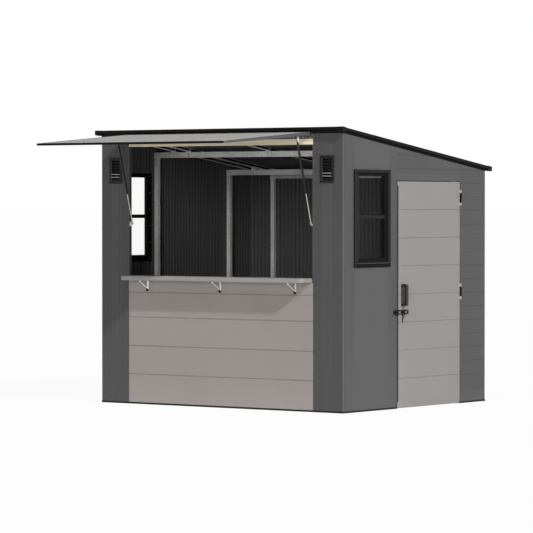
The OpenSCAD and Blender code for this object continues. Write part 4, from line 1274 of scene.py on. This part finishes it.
def struts():
    for side, label in ((-1, "left"), (1, "right")):
        head = Vector((side * STRUT_X, HEAD[1], HEAD[2]))
        shape = Shape()
        soft = 2 * MM
        shape.lathe(head + STRUT_AXIS * 20 * MM, STRUT_AXIS, [
            (0, CYLINDER_R - 3 * MM), (1 * MM, CYLINDER_R - 1.5 * MM), (4 * MM, CYLINDER_R),
            (CYLINDER_L - 32 * MM, CYLINDER_R),
            (CYLINDER_L - 30 * MM, CYLINDER_R - 1.2 * MM), (CYLINDER_L - 27 * MM, CYLINDER_R - 1.2 * MM),
            (CYLINDER_L - 25 * MM, CYLINDER_R), (CYLINDER_L - 22 * MM, CYLINDER_R),
            (CYLINDER_L - 20 * MM, CYLINDER_R - soft), (CYLINDER_L - 20 * MM, ROD_R + 0.3 * MM),
            (CYLINDER_L - 40 * MM, ROD_R + 0.3 * MM), (CYLINDER_L - 40 * MM, 0)], 0, 28)
        shape.lathe(head + STRUT_AXIS * 5 * MM, STRUT_AXIS,
                    [(0, 4 * MM), (7 * MM, 4 * MM), (9 * MM, 5.5 * MM), (16 * MM, 5.5 * MM)], 0)
        eye(shape, head, EYE_R, STUD_R + 0.3 * MM)
        name = "strut_cylinder_" + label
        piece(shape, name, ["strut"], name, edge=0.4 * MM)
        shape = Shape()
        foot = head + STRUT_AXIS * STRUT_L
        shape.lathe(foot - STRUT_AXIS * 6 * MM, -STRUT_AXIS, [
            (0, ROD_R + 2.4 * MM), (16 * MM, ROD_R + 2.4 * MM), (19 * MM, ROD_R),
            (STRUT_L - CYLINDER_L + 140 * MM, ROD_R)], 0, 20)
        shape.lathe(foot - Vector((side * 4 * MM, 0, 0)), (side, 0, 0), [
            (0, 5 * MM), (1 * MM, EYE_R - 1 * MM), (7 * MM, EYE_R - 1 * MM), (7.6 * MM, 5.5 * MM)], 0)
        name = "strut_rod_" + label
        piece(shape, name, ["rod"], name, edge=0.4 * MM)


def eye(shape, centre, radius, hole):
    """A flat eye with a through hole along X."""
    half = EYE_W / 2
    profile = [(-half, hole), (-half, radius - 1 * MM), (-half + 1 * MM, radius), (half - 1 * MM, radius),
               (half, radius - 1 * MM), (half, hole)]
    hollow(shape, profile, lambda along, a, b: Vector(centre) + Vector((along, a, b)))


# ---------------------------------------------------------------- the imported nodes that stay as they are
def dress(node, skin):
    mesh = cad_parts[node].data
    mesh.materials.clear()
    mesh.materials.append(M[skin])


front_corner(-1)
front_corner(1)
side_walls()
back_walls()
bay()
roof_panels()
roof_trims()
windows()
vents()
counter()
counter_brackets()
posts()
beams()
rafters()
door()
door_hinges()
handle()
hasp()
flap()
flap_hinges()
flap_fittings()
strut_feet()
struts()
for node in ("floor_left", "floor_middle", "floor_right"):
    dress(node, "sole")
for node in ("window_glass_left", "window_glass_right"):
    dress(node, "glass")


# ---------------------------------------------------------------- studio
AMBIENT = 0.28
SUNS = (("key", 2.6, (1.3, -0.5, 0.95), 2.0), ("fill", 1.0, (0.42, -1.0, 0.12), 16.0))
FLOOR_GLOW = 0.94


def seen_directly(nodes, links):
    """1 for rays that should meet the white surround."""
    path = nodes.new("ShaderNodeLightPath")
    seen = math_node(nodes, links, "MAXIMUM", path.outputs["Is Camera Ray"], path.outputs["Is Glossy Ray"])
    return math_node(nodes, links, "MAXIMUM", seen, path.outputs["Is Transmission Ray"])


def studio():
    scene = bpy.context.scene
    world = bpy.data.worlds.new("studio")
    scene.world = world
    world.use_nodes = True
    nodes, links = world.node_tree.nodes, world.node_tree.links
    back = next(n for n in nodes if n.type == "BACKGROUND")
    back.inputs["Color"].default_value = (1, 1, 1, 1)
    links.new(remap(nodes, links, seen_directly(nodes, links), 0, 1, AMBIENT, 1.0), back.inputs["Strength"])

    mesh = bpy.data.meshes.new("studio_floor")
    reach = 900.0
    mesh.from_pydata([(-reach, -reach, 0), (reach, -reach, 0), (reach, reach, 0), (-reach, reach, 0)], [],
                     [(0, 1, 2, 3)])
    floor = bpy.data.objects.new("studio_floor", mesh)
    scene.collection.objects.link(floor)
    mat, nodes, links, shader = new_material("studio_floor")
    shader.inputs["Base Color"].default_value = (0.92, 0.92, 0.92, 1)
    shader.inputs["Roughness"].default_value = 1.0
    shader.inputs["Specular IOR Level"].default_value = 0.0
    glow = nodes.new("ShaderNodeEmission")
    mix = nodes.new("ShaderNodeMixShader")
    output = next(n for n in nodes if n.type == "OUTPUT_MATERIAL")
    links.new(math_node(nodes, links, "MULTIPLY", seen_directly(nodes, links), FLOOR_GLOW),
              mix.inputs["Fac"])
    links.new(shader.outputs["BSDF"], mix.inputs[1])
    links.new(glow.outputs["Emission"], mix.inputs[2])
    links.new(mix.outputs["Shader"], output.inputs["Surface"])
    mesh.materials.append(mat)

    for name, strength, source, spread in SUNS:
        lamp = bpy.data.lights.new(name, "SUN")
        lamp.energy = strength
        lamp.angle = math.radians(spread)
        sun = bpy.data.objects.new(name, lamp)
        sun.rotation_euler = Vector(source).to_track_quat("Z", "Y").to_euler()
        scene.collection.objects.link(sun)

    lens = bpy.data.cameras.new("camera")
    lens.lens = 219.7
    lens.sensor_width = 36.0
    lens.clip_end = 3000.0
    camera = bpy.data.objects.new("camera", lens)
    camera.location = (15.8981, -21.6642, 1.6427)
    camera.rotation_euler = (math.radians(90 - 1.121), 0.0, math.radians(36.758))
    scene.collection.objects.link(camera)
    scene.camera = camera
    scene.view_settings.view_transform = "Standard"


studio()
